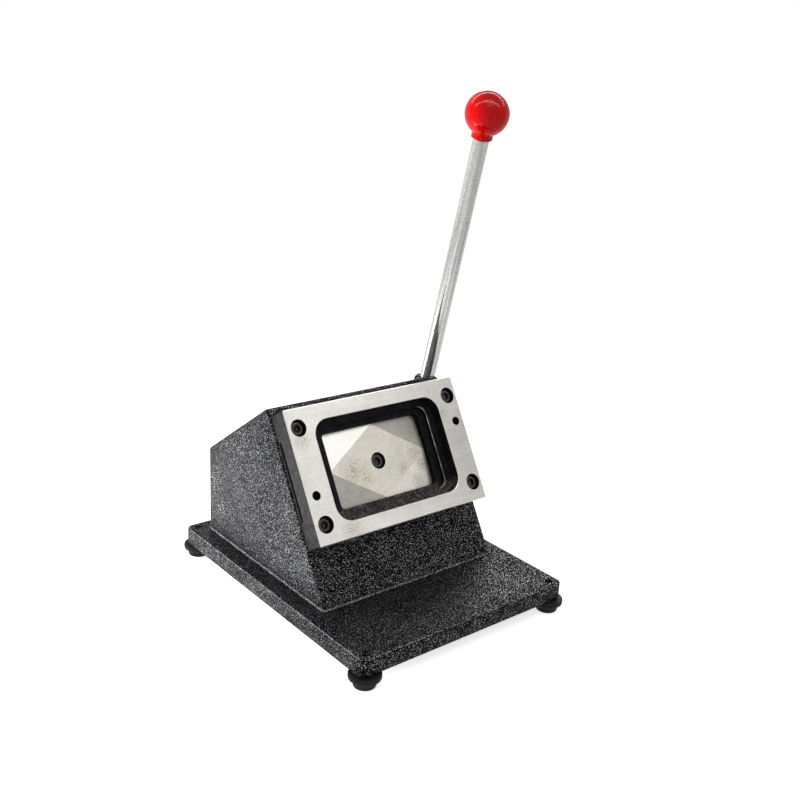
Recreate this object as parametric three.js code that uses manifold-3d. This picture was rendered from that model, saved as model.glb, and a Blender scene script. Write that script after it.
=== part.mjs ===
// Card cutter: a bench press that cuts one rounded card out of a strip fed through a slot behind its die.
// Millimetres, +Z up. The origin is on the floor, below the middle of the whole outline.
// X runs across the cutter with the lever on the +X side, and the die faces -Y.

import * as THREE from 'three';
import { mergeVertices } from 'three/addons/utils/BufferGeometryUtils.js';
import Module from 'manifold-3d';

const wasm = await Module();
wasm.setup();

// Card and clearances
const cardWidth = 85.6;
const cardHeight = 54;
const cardCornerRadius = 3.18;
const seatGap = 0.3;
const boreGap = 0.3;
const runningGap = 0.3;
const guideOpeningGap = 0.5;
const wallWindowGap = 1;
const cutOverrun = 2;

// Die stack on the leaning front wall
const reliefMarginX = 12.2;
const reliefMarginY = 9;
const reliefCornerRadius = 12;
const reliefDepth = 9;
const stepMarginX = 6.2;
const stepMarginY = 4;
const stepCornerRadius = 7;
const landLength = 1;
const diePlateBorderX = 20;
const diePlateBorderY = 11.25;
const diePlateThickness = 13;
const diePlateChamfer = 0.6;
const guidePlateThickness = 1.8;
const slotThickness = 2;
const slotMargin = 1;
const dieScrewInsetX = 8.5;
const dieScrewInsetY = 13.75;
const tappedHoleInsetX = 7.5;
const tappedHoleFromMiddle = 13.4;
const tappedHoleRadius = 3;

// Housing and base
const housingSideLedge = 1.25;
const housingBackHeight = 66.5;
const frontLeanDegrees = 31;
const diePlateBelowRidge = 6.1;
const frontWallThickness = 8;
const shellWallThickness = 6;
const housingEdgeRadius = 3;
const housingEdgeBevel = 1.5;
const baseSideLedge = 14.25;
const baseFrontLedge = 61.5;
const baseRearLedge = 12.5;
const baseThickness = 13;
const baseCornerRadius = 5;
const baseEdgeBevel = 1.2;
const cornerBossSize = 18;
const cornerBossHeight = 24;
const housingBoltDepth = 15;
const housingBoltHeadDepth = 7;

// Feet
const footHeight = 9.5;
const footFlangeRadius = 11;
const footFlangeThickness = 3.5;
const footWaistRadius = 8;
const footTipRadius = 7.5;
const footInsetX = 7.5;
const footInsetY = 6.5;
const footPocketRadius = 4.6;
const footPocketDepth = 4.5;
const footScrewBelowTop = 3;

// Screws and pins: thread radius, head radius and height, hex socket radius and depth
const dieScrew = { radius: 3, headRadius: 5, headHeight: 6, socketRadius: 2.9, socketDepth: 3 };
const punchScrew = { radius: 3, headRadius: 5, headHeight: 5.4, socketRadius: 2.9, socketDepth: 3 };
const housingBolt = { radius: 3, headRadius: 5, headHeight: 6, socketRadius: 2.9, socketDepth: 3 };
const footScrew = { radius: 2.3, headRadius: 4, headHeight: 2.4, socketRadius: 1.7, socketDepth: 1.4 };
const endScrew = { radius: 4, headRadius: 6.5, headHeight: 3, socketRadius: 3.4, socketDepth: 2 };
const setScrew = { radius: 2.5, length: 6, socketRadius: 1.5, socketDepth: 2.5 };
const dieScrewHeadBelowFace = 2.2;
const punchScrewHeadBelowFace = 1.5;
const punchScrewEngagement = 16;
const counterboreGap = 0.8;
const dowelRadius = 2.5;
const dowelFromMiddleX = 50;
const dowelFromMiddleY = 39;
const dowelInWall = 5;
const dowelInDie = 7;

// Punch and ram
const punchThickness = 22;
const punchBehindSlot = 0.3;
const punchCornerShear = 1.6;
const ramBlockWidth = 70;
const ramBlockHeight = 42;
const ramEarHeight = 34;
const ramEarThickness = 15;
const ramEarMargin = 9;
const guideBoltFromPunch = 13.2;
const guideBoltRadius = 5;
const guideBoltHeadRadius = 8;
const guideBoltHeadHeight = 5;
const guideBoltInWall = 7;
const earBushWall = 1.7;
const followerPadWidth = 22;
const followerPadHeight = 26;
const followerPadThickness = 6;
const padSpigotRadius = 4;
const padSpigotLength = 8;

// Return springs
const springLength = 31;
const springMeanRadius = 7.6;
const springWireRadius = 1;
const springCurlGap = 0.8;
const springCurls = 6;
const springClosedCurls = 1;

// Cross shaft, cam and lever
const shaftRadius = 9;
const shaftRecess = 1;
const bushWall = 3;
const bushFlangeRadius = 15;
const bushFlangeThickness = 2;
const blindBossWall = 4;
const blindBossLength = 14;
const collarRadius = 15;
const collarWidth = 10;
const keyWidth = 5;
const keyHeight = 5;
const camWidth = 18;
const camBaseRadius = 18;
const camRisePerRadian = 5;
const camLeadDegrees = 8;
const camToBackWall = 7.5;
const camAboveBase = 9.75;
const leverLeanDegrees = 12.6;
const leverTravelDegrees = 75;
const leverHubRadius = 19;
const leverHubWidth = 19;
const leverArmThickness = 13;
const leverArmRootWidth = 30;
const leverArmTipWidth = 18;
const leverSocketRadius = 10;
const leverSocketLength = 26;
const leverSocketTop = 77;
const leverSocketChamfer = 1.5;
const leverRodRadius = 6;
const leverRodInSocket = 24;
const ballFromPivot = 289;
const ballRadius = 16;
const knobNeckRadius = 7.8;
const knobNeckEnd = 18;
const ballBoreRadius = 6;
const ballBoreDepth = 22;
const knobStudRadius = 4;
const knobStudLength = 18;
const endWasherRadius = 13;
const endWasherThickness = 1.5;
const endScrewEngagement = 16;
const stopPinRadius = 4;
const stopPinFromPivot = 36;
const stopPinProud = 16;

// Smoothness of round shapes, as counts
const roundSides = 24;
const footSides = 16;
const smallSides = 12;
const hexSides = 6;
const cornerSteps = 4;
const ballRings = 10;
const footSteps = 4;
const camSteps = 60;
const stepsPerCurl = 8;
const wireSides = 5;

// What the driving sizes add up to
const degree = Math.PI / 180;
const frontLean = frontLeanDegrees * degree;
const punchAxisTilt = Math.PI / 2 - frontLean;
const leverLean = leverLeanDegrees * degree;
const reliefWidth = cardWidth + 2 * reliefMarginX;
const reliefHeight = cardHeight + 2 * reliefMarginY;
const diePlateWidth = reliefWidth + 2 * diePlateBorderX;
const diePlateHeight = reliefHeight + 2 * diePlateBorderY;
const slotHeight = cardHeight + 2 * slotMargin;
const housingWidth = diePlateWidth + 2 * housingSideLedge;
const innerHalfWidth = housingWidth / 2 - shellWallThickness;
const baseWidth = housingWidth + 2 * baseSideLedge;
const baseTop = footHeight + baseThickness;

// Levels along the punch axis, outward from the housing's front face
const guidePlateBack = seatGap;
const slotBack = guidePlateBack + guidePlateThickness;
const slotFront = slotBack + slotThickness;
const dieFace = slotFront + diePlateThickness;
const punchFace = slotBack - punchBehindSlot;
const punchBack = punchFace - punchThickness;
const punchScrewSeat = punchFace - punchScrewHeadBelowFace - punchScrew.headHeight;
const punchScrewTip = punchBack - punchScrewEngagement;
const wallBack = -frontWallThickness;
const earFront = wallBack - springLength - 2 * seatGap;
const earBack = earFront - ramEarThickness;
const padFront = earBack - seatGap;
const padBack = padFront - followerPadThickness;
const camAxisLevel = padBack - runningGap - camBaseRadius;

// The cam stands clear of the base and the back wall. The die centre's height follows from that along the punch
// axis, the ridge's height from the die plate, the housing's depth from the cam, and the base's depth from both.
const camRiseStart = -camLeadDegrees * degree;
const camRiseEnd = (leverTravelDegrees + camLeadDegrees) * degree;
const camHighReach = camBaseRadius + camRisePerRadian * camRiseEnd;
const camGreatestRadius = Math.hypot(camHighReach, camRisePerRadian);
const shaftAboveBase = camGreatestRadius + camAboveBase;
const dieCentreUpSlope = (shaftAboveBase - camAxisLevel * Math.sin(frontLean)) / Math.cos(frontLean);
const ridgeUpSlope = dieCentreUpSlope + diePlateHeight / 2 + diePlateBelowRidge;
const housingRidgeHeight = ridgeUpSlope * Math.cos(frontLean);
const dieCentreBehindFront = dieCentreUpSlope * Math.sin(frontLean);
const shaftBehindFront = dieCentreBehindFront - camAxisLevel * Math.cos(frontLean);
const housingDepth = shaftBehindFront + camGreatestRadius + camToBackWall + shellWallThickness;
const baseDepth = baseFrontLedge + housingDepth + baseRearLedge;
const housingFrontY = baseFrontLedge - baseDepth / 2;
const housingBackY = housingFrontY + housingDepth;
const dieCentreY = housingFrontY + dieCentreBehindFront;
const dieCentreZ = baseTop + dieCentreUpSlope * Math.cos(frontLean);
const pivotY = housingFrontY + shaftBehindFront;
const pivotZ = baseTop + shaftAboveBase;

// Radii and levels of what sits on the cross shaft, which runs along X
const shaftBoreRadius = shaftRadius + boreGap;
const bushRadius = shaftBoreRadius + bushWall;
const bushHoleRadius = bushRadius + boreGap;
const blindBossInnerX = blindBossLength - innerHalfWidth;
const bushFlangeInnerX = housingWidth / 2 + seatGap;
const bushFlangeOuterX = bushFlangeInnerX + bushFlangeThickness;
const leverHubInnerX = bushFlangeOuterX + runningGap;
const leverHubOuterX = leverHubInnerX + leverHubWidth;
const leverX = leverHubInnerX + leverHubWidth / 2;
const collarOuterX = innerHalfWidth - runningGap;
const keyBottom = shaftRadius - keyHeight / 2;

// Radii and places of the ram's guides
const guideBoltX = cardWidth / 2 + guideBoltFromPunch;
const earBushInnerRadius = guideBoltRadius + runningGap;
const earBushOuterRadius = earBushInnerRadius + earBushWall;

// The lever's arm narrows from the shaft to the socket, and rests a running gap in front of the stop pin
const leverArmLength = leverSocketTop - leverSocketLength / 2;
const leverArmTaper = (leverArmRootWidth - leverArmTipWidth) / 2 / leverArmLength;
const leverArmHalfAtPin = leverArmRootWidth / 2 - leverArmTaper * stopPinFromPivot;
const stopPinBehindArm = leverArmHalfAtPin + (stopPinRadius + runningGap) * Math.hypot(1, leverArmTaper);
const stopPinY = pivotY + stopPinBehindArm * Math.cos(leverLean) - stopPinFromPivot * Math.sin(leverLean);
const stopPinZ = pivotZ + stopPinBehindArm * Math.sin(leverLean) + stopPinFromPivot * Math.cos(leverLean);

// Places of what comes in fours and twos
const sides = [{ name: 'left', sign: -1 }, { name: 'right', sign: 1 }];
const corners = [{ end: 'front', signY: -1 }, { end: 'rear', signY: 1 }].flatMap(({ end, signY }) => (
  sides.map(({ name, sign }) => ({ name: `${end}_${name}`, signX: sign, signY }))));
const innerFrontY = housingFrontY + frontWallThickness / Math.cos(frontLean);
const innerBackY = housingBackY - shellWallThickness;
const housingBoltX = innerHalfWidth - cornerBossSize / 2;
const housingBoltFrontY = innerFrontY + cornerBossSize / 2;
const housingBoltRearY = innerBackY - cornerBossSize / 2;
const footPlaces = corners.map(({ name, signX, signY }) => (
  { name, x: signX * (baseWidth / 2 - footInsetX), y: signY * (baseDepth / 2 - footInsetY) }));
const housingBoltPlaces = corners.map(({ name, signX, signY }) => (
  { name, signX, signY, x: signX * housingBoltX, y: signY < 0 ? housingBoltFrontY : housingBoltRearY }));
const dieScrewPlaces = corners.map(({ name, signX, signY }) => ({
  name: name.replace('front', 'lower').replace('rear', 'upper'),
  x: signX * (diePlateWidth / 2 - dieScrewInsetX),
  y: signY * (diePlateHeight / 2 - dieScrewInsetY),
}));
const dowelPlaces = sides.map(({ name, sign }) => (
  { name, x: sign * dowelFromMiddleX, y: -sign * dowelFromMiddleY }));

// Finishes
function finish(color, roughness, metalness) {
  return new THREE.MeshStandardMaterial({ color, roughness, metalness });
}

const finishes = {
  hammertone: finish(0x2e2e31, 0.45, 0.4),
  groundSteel: finish(0xbdbab4, 0.35, 0.95),
  machinedSteel: finish(0x8c8c8e, 0.45, 0.9),
  blackOxide: finish(0x161617, 0.5, 0.6),
  plated: finish(0xd6d7d4, 0.15, 1),
  springSteel: finish(0x6a6a6c, 0.4, 0.9),
  bronze: finish(0xa98650, 0.4, 0.9),
  brass: finish(0xc8a45a, 0.35, 0.9),
  redPlastic: finish(0xc2000d, 0.15, 0),
  rubber: finish(0x0d0d0e, 0.8, 0),
};

// Solids from geometry, and back
function toSolid(geometry) {
  const bare = geometry.clone();
  bare.deleteAttribute('normal');
  bare.deleteAttribute('uv');
  const merged = mergeVertices(bare);
  const vertProperties = new Float32Array(merged.attributes.position.array);
  const triVerts = new Uint32Array(merged.index.array);
  return new wasm.Manifold(new wasm.Mesh({ numProp: 3, vertProperties, triVerts }));
}

function toGeometry(solid) {
  const mesh = solid.getMesh();
  const geometry = new THREE.BufferGeometry();
  geometry.setAttribute('position', new THREE.BufferAttribute(new Float32Array(mesh.vertProperties), 3));
  geometry.setIndex(new THREE.BufferAttribute(new Uint32Array(mesh.triVerts), 1));
  return geometry;
}

// Joins a body with what is added, keeps what lies inside another solid, then cuts the holes.
function shaped(body, { add = [], keep = [], cut = [] }) {
  let solid = toSolid(body);
  for (const geometry of add) solid = solid.add(toSolid(geometry));
  for (const geometry of keep) solid = solid.intersect(toSolid(geometry));
  for (const geometry of cut) solid = solid.subtract(toSolid(geometry));
  return toGeometry(solid);
}

// Outlines
function roundedRectangle(width, height, radius) {
  const right = width / 2 - radius;
  const top = height / 2 - radius;
  const shape = new THREE.Shape();
  shape.absarc(right, top, radius, 0, Math.PI / 2);
  shape.absarc(-right, top, radius, Math.PI / 2, Math.PI);
  shape.absarc(-right, -top, radius, Math.PI, 3 * Math.PI / 2);
  shape.absarc(right, -top, radius, 3 * Math.PI / 2, 2 * Math.PI);
  return shape;
}

// Joins points by straight lines, and rounds each corner that has a radius from that far along both lines.
function softCornered(points, radii) {
  const shape = new THREE.Shape();
  points.forEach((point, index) => {
    const before = points[(index + points.length - 1) % points.length];
    const after = points[(index + 1) % points.length];
    const start = point.clone().add(before.clone().sub(point).setLength(radii[index]));
    const end = point.clone().add(after.clone().sub(point).setLength(radii[index]));
    if (index === 0) shape.moveTo(start.x, start.y);
    else shape.lineTo(start.x, start.y);
    if (radii[index] > 0) shape.quadraticCurveTo(point.x, point.y, end.x, end.y);
  });
  return shape;
}

// Basic forms: a block, a slab of an outline, a turned piece, a rod and a tube all grow along +Z.
function block(width, depth, height, x = 0, y = 0, z = 0) {
  return new THREE.BoxGeometry(width, depth, height).translate(x, y, z + height / 2);
}

function slab(shape, from, to, bevel = 0) {
  const geometry = new THREE.ExtrudeGeometry(shape, {
    depth: to - from - 2 * bevel,
    bevelEnabled: bevel > 0,
    bevelThickness: bevel,
    bevelSize: bevel,
    bevelOffset: -bevel,
    bevelSegments: 1,
    curveSegments: cornerSteps,
  });
  return geometry.translate(0, 0, from + bevel);
}

function turned(points, count = roundSides) {
  const profile = [...points, points[0]].map(([radius, height]) => new THREE.Vector2(radius, height));
  return new THREE.LatheGeometry(profile, count).rotateX(Math.PI / 2);
}

function rod(radius, from, to, count = roundSides) {
  return turned([[0, from], [radius, from], [radius, to], [0, to]], count);
}

function tube(inner, outer, from, to, count = roundSides) {
  return turned([[inner, from], [outer, from], [outer, to], [inner, to]], count);
}

// Lays what grows along +Z so that it grows along +X.
function alongX(geometry) {
  return geometry.rotateY(Math.PI / 2);
}

// Extrudes an outline drawn in the Y-Z plane evenly to both sides of X = 0.
function across(shape, width, bevel = 0) {
  const cyclic = new THREE.Matrix4().makeBasis(
    new THREE.Vector3(0, 1, 0),
    new THREE.Vector3(0, 0, 1),
    new THREE.Vector3(1, 0, 0),
  );
  return slab(shape, -width / 2, width / 2, bevel).applyMatrix4(cyclic);
}

function at(places, makeGeometry) {
  return places.map(({ x, y }) => makeGeometry().translate(x, y, 0));
}

// A socket head screw along Z: its head's underside is at 0, its head above and its tip below.
function socketScrew({ radius, headRadius, headHeight, socketRadius, socketDepth }, length) {
  const body = turned([[0, -length], [radius, -length], [radius, 0],
    [headRadius, 0], [headRadius, headHeight], [0, headHeight]], smallSides);
  const socket = rod(socketRadius, headHeight - socketDepth, headHeight + cutOverrun, hexSides);
  return shaped(body, { cut: [socket] });
}

function grubScrew({ radius, length, socketRadius, socketDepth }) {
  const socket = rod(socketRadius, length - socketDepth, length + cutOverrun, hexSides);
  return shaped(rod(radius, 0, length, smallSides), { cut: [socket] });
}

function addPiece(group, name, geometry, material, x = 0, y = 0, z = 0) {
  const mesh = new THREE.Mesh(geometry, material);
  mesh.name = name;
  mesh.position.set(x, y, z);
  group.add(mesh);
}

// The die frame's origin is in the housing's front face, with Z outward along the punch axis and Y upward.
function placeInDieFrame(object) {
  object.position.set(0, dieCentreY, dieCentreZ);
  object.rotation.x = punchAxisTilt;
  object.updateMatrixWorld();
  return object;
}

// Base and feet
function addBase(group) {
  const outline = roundedRectangle(baseWidth, baseDepth, baseCornerRadius);
  const drill = (radius, to) => () => rod(radius, -cutOverrun, to, smallSides);
  const cut = [
    ...at(footPlaces, drill(footScrew.radius + boreGap, baseThickness + cutOverrun)),
    ...at(housingBoltPlaces, drill(housingBolt.radius + boreGap, baseThickness + cutOverrun)),
    ...at(housingBoltPlaces, drill(housingBolt.headRadius + counterboreGap, housingBoltHeadDepth)),
  ];
  const plate = shaped(slab(outline, 0, baseThickness, baseEdgeBevel), { cut });
  addPiece(group, 'base_plate', plate, finishes.hammertone, 0, 0, footHeight);
}

function footGeometry() {
  const flangeBottom = footHeight - footFlangeThickness;
  const waistHeight = flangeBottom / 2;
  const flare = [];
  for (let step = 0; step <= footSteps; step += 1) {
    const share = step / footSteps;
    const radius = footWaistRadius + (footFlangeRadius - footWaistRadius) * share * share;
    flare.push([radius, waistHeight + (flangeBottom - waistHeight) * share]);
  }
  const holeRadius = footScrew.radius + boreGap;
  return turned([[footPocketRadius, 0], [footTipRadius, 0], ...flare, [footFlangeRadius, footHeight],
    [holeRadius, footHeight], [holeRadius, footPocketDepth], [footPocketRadius, footPocketDepth]], footSides);
}

function addFeet(group) {
  const seat = footPocketDepth - seatGap;
  const screwLength = baseTop - footScrewBelowTop - seat;
  for (const { name, x, y } of footPlaces) {
    const screw = socketScrew(footScrew, screwLength).rotateX(Math.PI);
    addPiece(group, `foot_${name}`, footGeometry(), finishes.rubber, x, y);
    addPiece(group, `foot_screw_${name}`, screw, finishes.machinedSteel, x, y, seat);
  }
}

// Housing. Its side outline lies in the Y-Z plane with 0 at the base's top, set in by the wall thicknesses.
function housingOutline(front, shell, bottom) {
  const leanRun = Math.tan(frontLean);
  const ridgeY = housingFrontY + housingRidgeHeight * leanRun;
  const roofFall = (housingRidgeHeight - housingBackHeight) / (housingBackY - ridgeY);
  const frontStartY = housingFrontY + front / Math.cos(frontLean);
  const backY = housingBackY - shell;
  const roofAt = (y) => housingRidgeHeight - shell * Math.hypot(1, roofFall) - (y - ridgeY) * roofFall;
  const ridgeZ = roofAt(frontStartY) / (1 + leanRun * roofFall);
  return [
    new THREE.Vector2(frontStartY + bottom * leanRun, bottom),
    new THREE.Vector2(backY, bottom),
    new THREE.Vector2(backY, roofAt(backY)),
    new THREE.Vector2(frontStartY + ridgeZ * leanRun, ridgeZ),
  ];
}

function cornerBoss({ signX, signY, x, y }) {
  const intoWall = shellWallThickness / 2;
  const size = cornerBossSize + intoWall;
  return block(size, size, cornerBossHeight, x + signX * intoWall / 2, y + signY * intoWall / 2);
}

function housingFrontHoles() {
  const through = (radius) => () => rod(radius, wallBack - cutOverrun, cutOverrun, smallSides);
  const window = slab(roundedRectangle(cardWidth + 2 * wallWindowGap, cardHeight + 2 * wallWindowGap,
    cardCornerRadius + wallWindowGap), wallBack - cutOverrun, cutOverrun);
  const dowelHole = () => rod(dowelRadius + boreGap, -dowelInWall - seatGap, cutOverrun, smallSides);
  const holes = [
    window,
    ...at(sides.map(({ sign }) => ({ x: sign * guideBoltX, y: 0 })), through(guideBoltRadius + boreGap)),
    ...at(dieScrewPlaces, through(dieScrew.radius + boreGap)),
    ...at(dowelPlaces, dowelHole),
  ];
  const { matrixWorld } = placeInDieFrame(new THREE.Object3D());
  return holes.map((hole) => hole.applyMatrix4(matrixWorld).translate(0, 0, -baseTop));
}

function housingSideHoles() {
  const through = [innerHalfWidth - cutOverrun, housingWidth / 2 + cutOverrun];
  const blind = [-innerHalfWidth - seatGap, blindBossInnerX + cutOverrun];
  return [
    alongX(rod(bushHoleRadius, ...blind)).translate(0, pivotY, pivotZ - baseTop),
    alongX(rod(bushHoleRadius, ...through)).translate(0, pivotY, pivotZ - baseTop),
    alongX(rod(stopPinRadius + boreGap, ...through, smallSides)).translate(0, stopPinY, stopPinZ - baseTop),
  ];
}

function addHousing(group) {
  const roofRadii = [0, 0, housingEdgeRadius, housingEdgeRadius];
  const outerOutline = softCornered(housingOutline(0, 0, -cutOverrun), roofRadii);
  const outer = across(outerOutline, housingWidth, housingEdgeBevel);
  const cavityOutline = housingOutline(frontWallThickness, shellWallThickness, -2 * cutOverrun);
  const cavity = across(softCornered(cavityOutline, roofRadii), 2 * innerHalfWidth);
  const belowBase = block(2 * housingWidth, 2 * housingDepth, housingDepth, 0, 0, -housingDepth);
  const blindBoss = alongX(rod(bushHoleRadius + blindBossWall, -innerHalfWidth - shellWallThickness / 2,
    blindBossInnerX)).translate(0, pivotY, pivotZ - baseTop);
  const boltHoleTop = housingBoltDepth + seatGap;
  const boltHole = () => rod(housingBolt.radius + boreGap, -cutOverrun, boltHoleTop, smallSides);
  const shell = shaped(shaped(outer, { cut: [cavity] }), {
    add: [...housingBoltPlaces.map(cornerBoss), blindBoss],
    keep: [outer],
    cut: [belowBase, ...at(housingBoltPlaces, boltHole), ...housingSideHoles(), ...housingFrontHoles()],
  });
  addPiece(group, 'housing_shell', shell, finishes.hammertone, 0, 0, baseTop);
}

function addHousingBolts(group) {
  const seat = footHeight + housingBoltHeadDepth - seatGap;
  const length = baseTop + housingBoltDepth - seat;
  for (const { name, x, y } of housingBoltPlaces) {
    const bolt = socketScrew(housingBolt, length).rotateX(Math.PI);
    addPiece(group, `housing_bolt_${name}`, bolt, finishes.blackOxide, x, y, seat);
  }
}

// Die stack, in the die frame
function stackHoles(from, to) {
  return [
    ...at(dieScrewPlaces, () => rod(dieScrew.radius + boreGap, from, to, smallSides)),
    ...at(dowelPlaces, () => rod(dowelRadius + boreGap, from, to, smallSides)),
  ];
}

function addGuidePlate(group) {
  const outline = roundedRectangle(diePlateWidth, diePlateHeight, diePlateChamfer);
  const opening = roundedRectangle(cardWidth + 2 * guideOpeningGap, cardHeight + 2 * guideOpeningGap,
    cardCornerRadius + guideOpeningGap);
  const from = guidePlateBack - cutOverrun;
  const to = slotBack + cutOverrun;
  const cut = [slab(opening, from, to), ...stackHoles(from, to)];
  const plate = shaped(slab(outline, guidePlateBack, slotBack), { cut });
  addPiece(group, 'guide_plate', plate, finishes.groundSteel);
}

function addSlotSpacers(group) {
  const height = (diePlateHeight - slotHeight) / 2;
  const thickness = slotThickness - 2 * seatGap;
  for (const { name, sign } of [{ name: 'bottom', sign: -1 }, { name: 'top', sign: 1 }]) {
    const y = sign * (slotHeight + height) / 2;
    const bar = block(diePlateWidth, height, thickness, 0, y, slotBack + seatGap);
    const spacer = shaped(bar, { cut: stackHoles(slotBack, slotFront) });
    addPiece(group, `slot_spacer_${name}`, spacer, finishes.machinedSteel);
  }
}

function addDiePlate(group) {
  const back = slotFront - cutOverrun;
  const front = dieFace + cutOverrun;
  const relief = roundedRectangle(reliefWidth, reliefHeight, reliefCornerRadius);
  const step = roundedRectangle(cardWidth + 2 * stepMarginX, cardHeight + 2 * stepMarginY, stepCornerRadius);
  const land = roundedRectangle(cardWidth + 2 * runningGap, cardHeight + 2 * runningGap,
    cardCornerRadius + runningGap);
  const counterboreFloor = dieFace - dieScrewHeadBelowFace - dieScrew.headHeight - seatGap;
  const dowelFloor = slotFront + dowelInDie + seatGap;
  const tappedPlaces = sides.map(({ sign }) => (
    { x: sign * (diePlateWidth / 2 - tappedHoleInsetX), y: sign * tappedHoleFromMiddle }));
  const cut = [
    slab(relief, dieFace - reliefDepth, front),
    slab(step, slotFront + landLength, dieFace),
    slab(land, back, dieFace),
    ...at(dieScrewPlaces, () => rod(dieScrew.radius + boreGap, back, dieFace, smallSides)),
    ...at(dieScrewPlaces, () => rod(dieScrew.headRadius + counterboreGap, counterboreFloor, front)),
    ...at(dowelPlaces, () => rod(dowelRadius + boreGap, back, dowelFloor, smallSides)),
    ...at(tappedPlaces, () => rod(tappedHoleRadius, back, front, smallSides)),
  ];
  const outline = roundedRectangle(diePlateWidth, diePlateHeight, 2 * diePlateChamfer);
  const plate = shaped(slab(outline, slotFront, dieFace, diePlateChamfer), { cut });
  addPiece(group, 'die_plate', plate, finishes.groundSteel);
}

function addDieFasteners(group) {
  const seat = dieFace - dieScrewHeadBelowFace - dieScrew.headHeight;
  for (const { name, x, y } of dieScrewPlaces) {
    const screw = socketScrew(dieScrew, seat - wallBack);
    addPiece(group, `die_screw_${name}`, screw, finishes.blackOxide, x, y, seat);
  }
  for (const { name, x, y } of dowelPlaces) {
    const pin = rod(dowelRadius, -dowelInWall, slotFront + dowelInDie, smallSides);
    addPiece(group, `dowel_pin_${name}`, pin, finishes.machinedSteel, x, y);
  }
}

// Return springs. The wire is one unbroken tube whose end curls lie closer than its middle ones.
function springCentre(curlsDone) {
  const closedPitch = 2 * springWireRadius + springCurlGap;
  const closedLength = springClosedCurls * closedPitch;
  const openCurls = springCurls - 2 * springClosedCurls;
  const openLength = springLength - 2 * springWireRadius - 2 * closedLength;
  const openCurlsDone = THREE.MathUtils.clamp(curlsDone - springClosedCurls, 0, openCurls);
  const closedCurlsDone = curlsDone - openCurlsDone;
  const height = springWireRadius + closedCurlsDone * closedPitch + openCurlsDone / openCurls * openLength;
  const angle = curlsDone * 2 * Math.PI;
  return new THREE.Vector3(springMeanRadius * Math.cos(angle), springMeanRadius * Math.sin(angle), height);
}

function springGeometry() {
  const steps = springCurls * stepsPerCurl;
  const positions = [];
  for (let step = 0; step <= steps; step += 1) {
    const centre = springCentre(step / stepsPerCurl);
    const outward = new THREE.Vector3(centre.x, centre.y, 0).normalize();
    for (let side = 0; side < wireSides; side += 1) {
      const turn = side * 2 * Math.PI / wireSides;
      const point = centre.clone().addScaledVector(outward, springWireRadius * Math.cos(turn));
      positions.push(point.x, point.y, point.z + springWireRadius * Math.sin(turn));
    }
  }
  const corner = (step, side) => step * wireSides + (side % wireSides);
  const index = [];
  for (let step = 0; step < steps; step += 1) {
    for (let side = 0; side < wireSides; side += 1) {
      index.push(corner(step, side), corner(step + 1, side + 1), corner(step, side + 1));
      index.push(corner(step, side), corner(step + 1, side), corner(step + 1, side + 1));
    }
  }
  for (let side = 1; side < wireSides - 1; side += 1) {
    index.push(corner(0, 0), corner(0, side), corner(0, side + 1));
    index.push(corner(steps, 0), corner(steps, side + 1), corner(steps, side));
  }
  const geometry = new THREE.BufferGeometry();
  geometry.setAttribute('position', new THREE.Float32BufferAttribute(positions, 3));
  geometry.setIndex(index);
  return geometry;
}

// Least clear gap between curls of the wire, from points of its centre line half a curl or more apart.
function leastSpringGap() {
  const steps = springCurls * stepsPerCurl;
  let least = Infinity;
  for (let first = 0; first <= steps; first += 1) {
    for (let second = first + stepsPerCurl / 2; second <= steps; second += 1) {
      const apart = springCentre(first / stepsPerCurl).distanceTo(springCentre(second / stepsPerCurl));
      least = Math.min(least, apart - 2 * springWireRadius);
    }
  }
  return least;
}

function addGuides(group) {
  const headFront = earBack - seatGap;
  const headBack = headFront - guideBoltHeadHeight;
  const shankEnd = wallBack + guideBoltInWall;
  for (const { name, sign } of sides) {
    const bolt = turned([[0, headBack], [guideBoltHeadRadius, headBack], [guideBoltHeadRadius, headFront],
      [guideBoltRadius, headFront], [guideBoltRadius, shankEnd], [0, shankEnd]]);
    const x = sign * guideBoltX;
    addPiece(group, `guide_bolt_${name}`, bolt, finishes.machinedSteel, x);
    const springFoot = earFront + seatGap;
    addPiece(group, `return_spring_${name}`, springGeometry(), finishes.springSteel, x, 0, springFoot);
  }
}

// Punch and ram, in the die frame. Each corner facet of the punch falls away from the diamond in its centre.
function grindingTool({ signX, signY }) {
  const halfWidth = cardWidth / 2;
  const halfHeight = cardHeight / 2;
  const fallX = signX * punchCornerShear / halfWidth;
  const fallY = signY * punchCornerShear / halfHeight;
  const normal = new THREE.Vector3(fallX, fallY, 1).normalize();
  const tilt = new THREE.Quaternion().setFromUnitVectors(new THREE.Vector3(0, 0, 1), normal);
  return block(2 * cardWidth, 2 * cardWidth, cardWidth).applyQuaternion(tilt)
    .translate(signX * halfWidth, signY * halfHeight, punchFace - punchCornerShear);
}

function addPunch(group) {
  const above = punchFace + cutOverrun;
  const body = slab(roundedRectangle(cardWidth, cardHeight, cardCornerRadius), punchBack, punchFace);
  const cut = [
    ...corners.map(grindingTool),
    rod(punchScrew.radius + boreGap, punchBack - cutOverrun, above, smallSides),
    rod(punchScrew.headRadius + counterboreGap, punchScrewSeat - seatGap, above, smallSides),
  ];
  const screw = socketScrew(punchScrew, punchScrewSeat - punchScrewTip);
  addPiece(group, 'punch', shaped(body, { cut }), finishes.groundSteel);
  addPiece(group, 'punch_screw', screw, finishes.blackOxide, 0, 0, punchScrewSeat);
}

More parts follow.
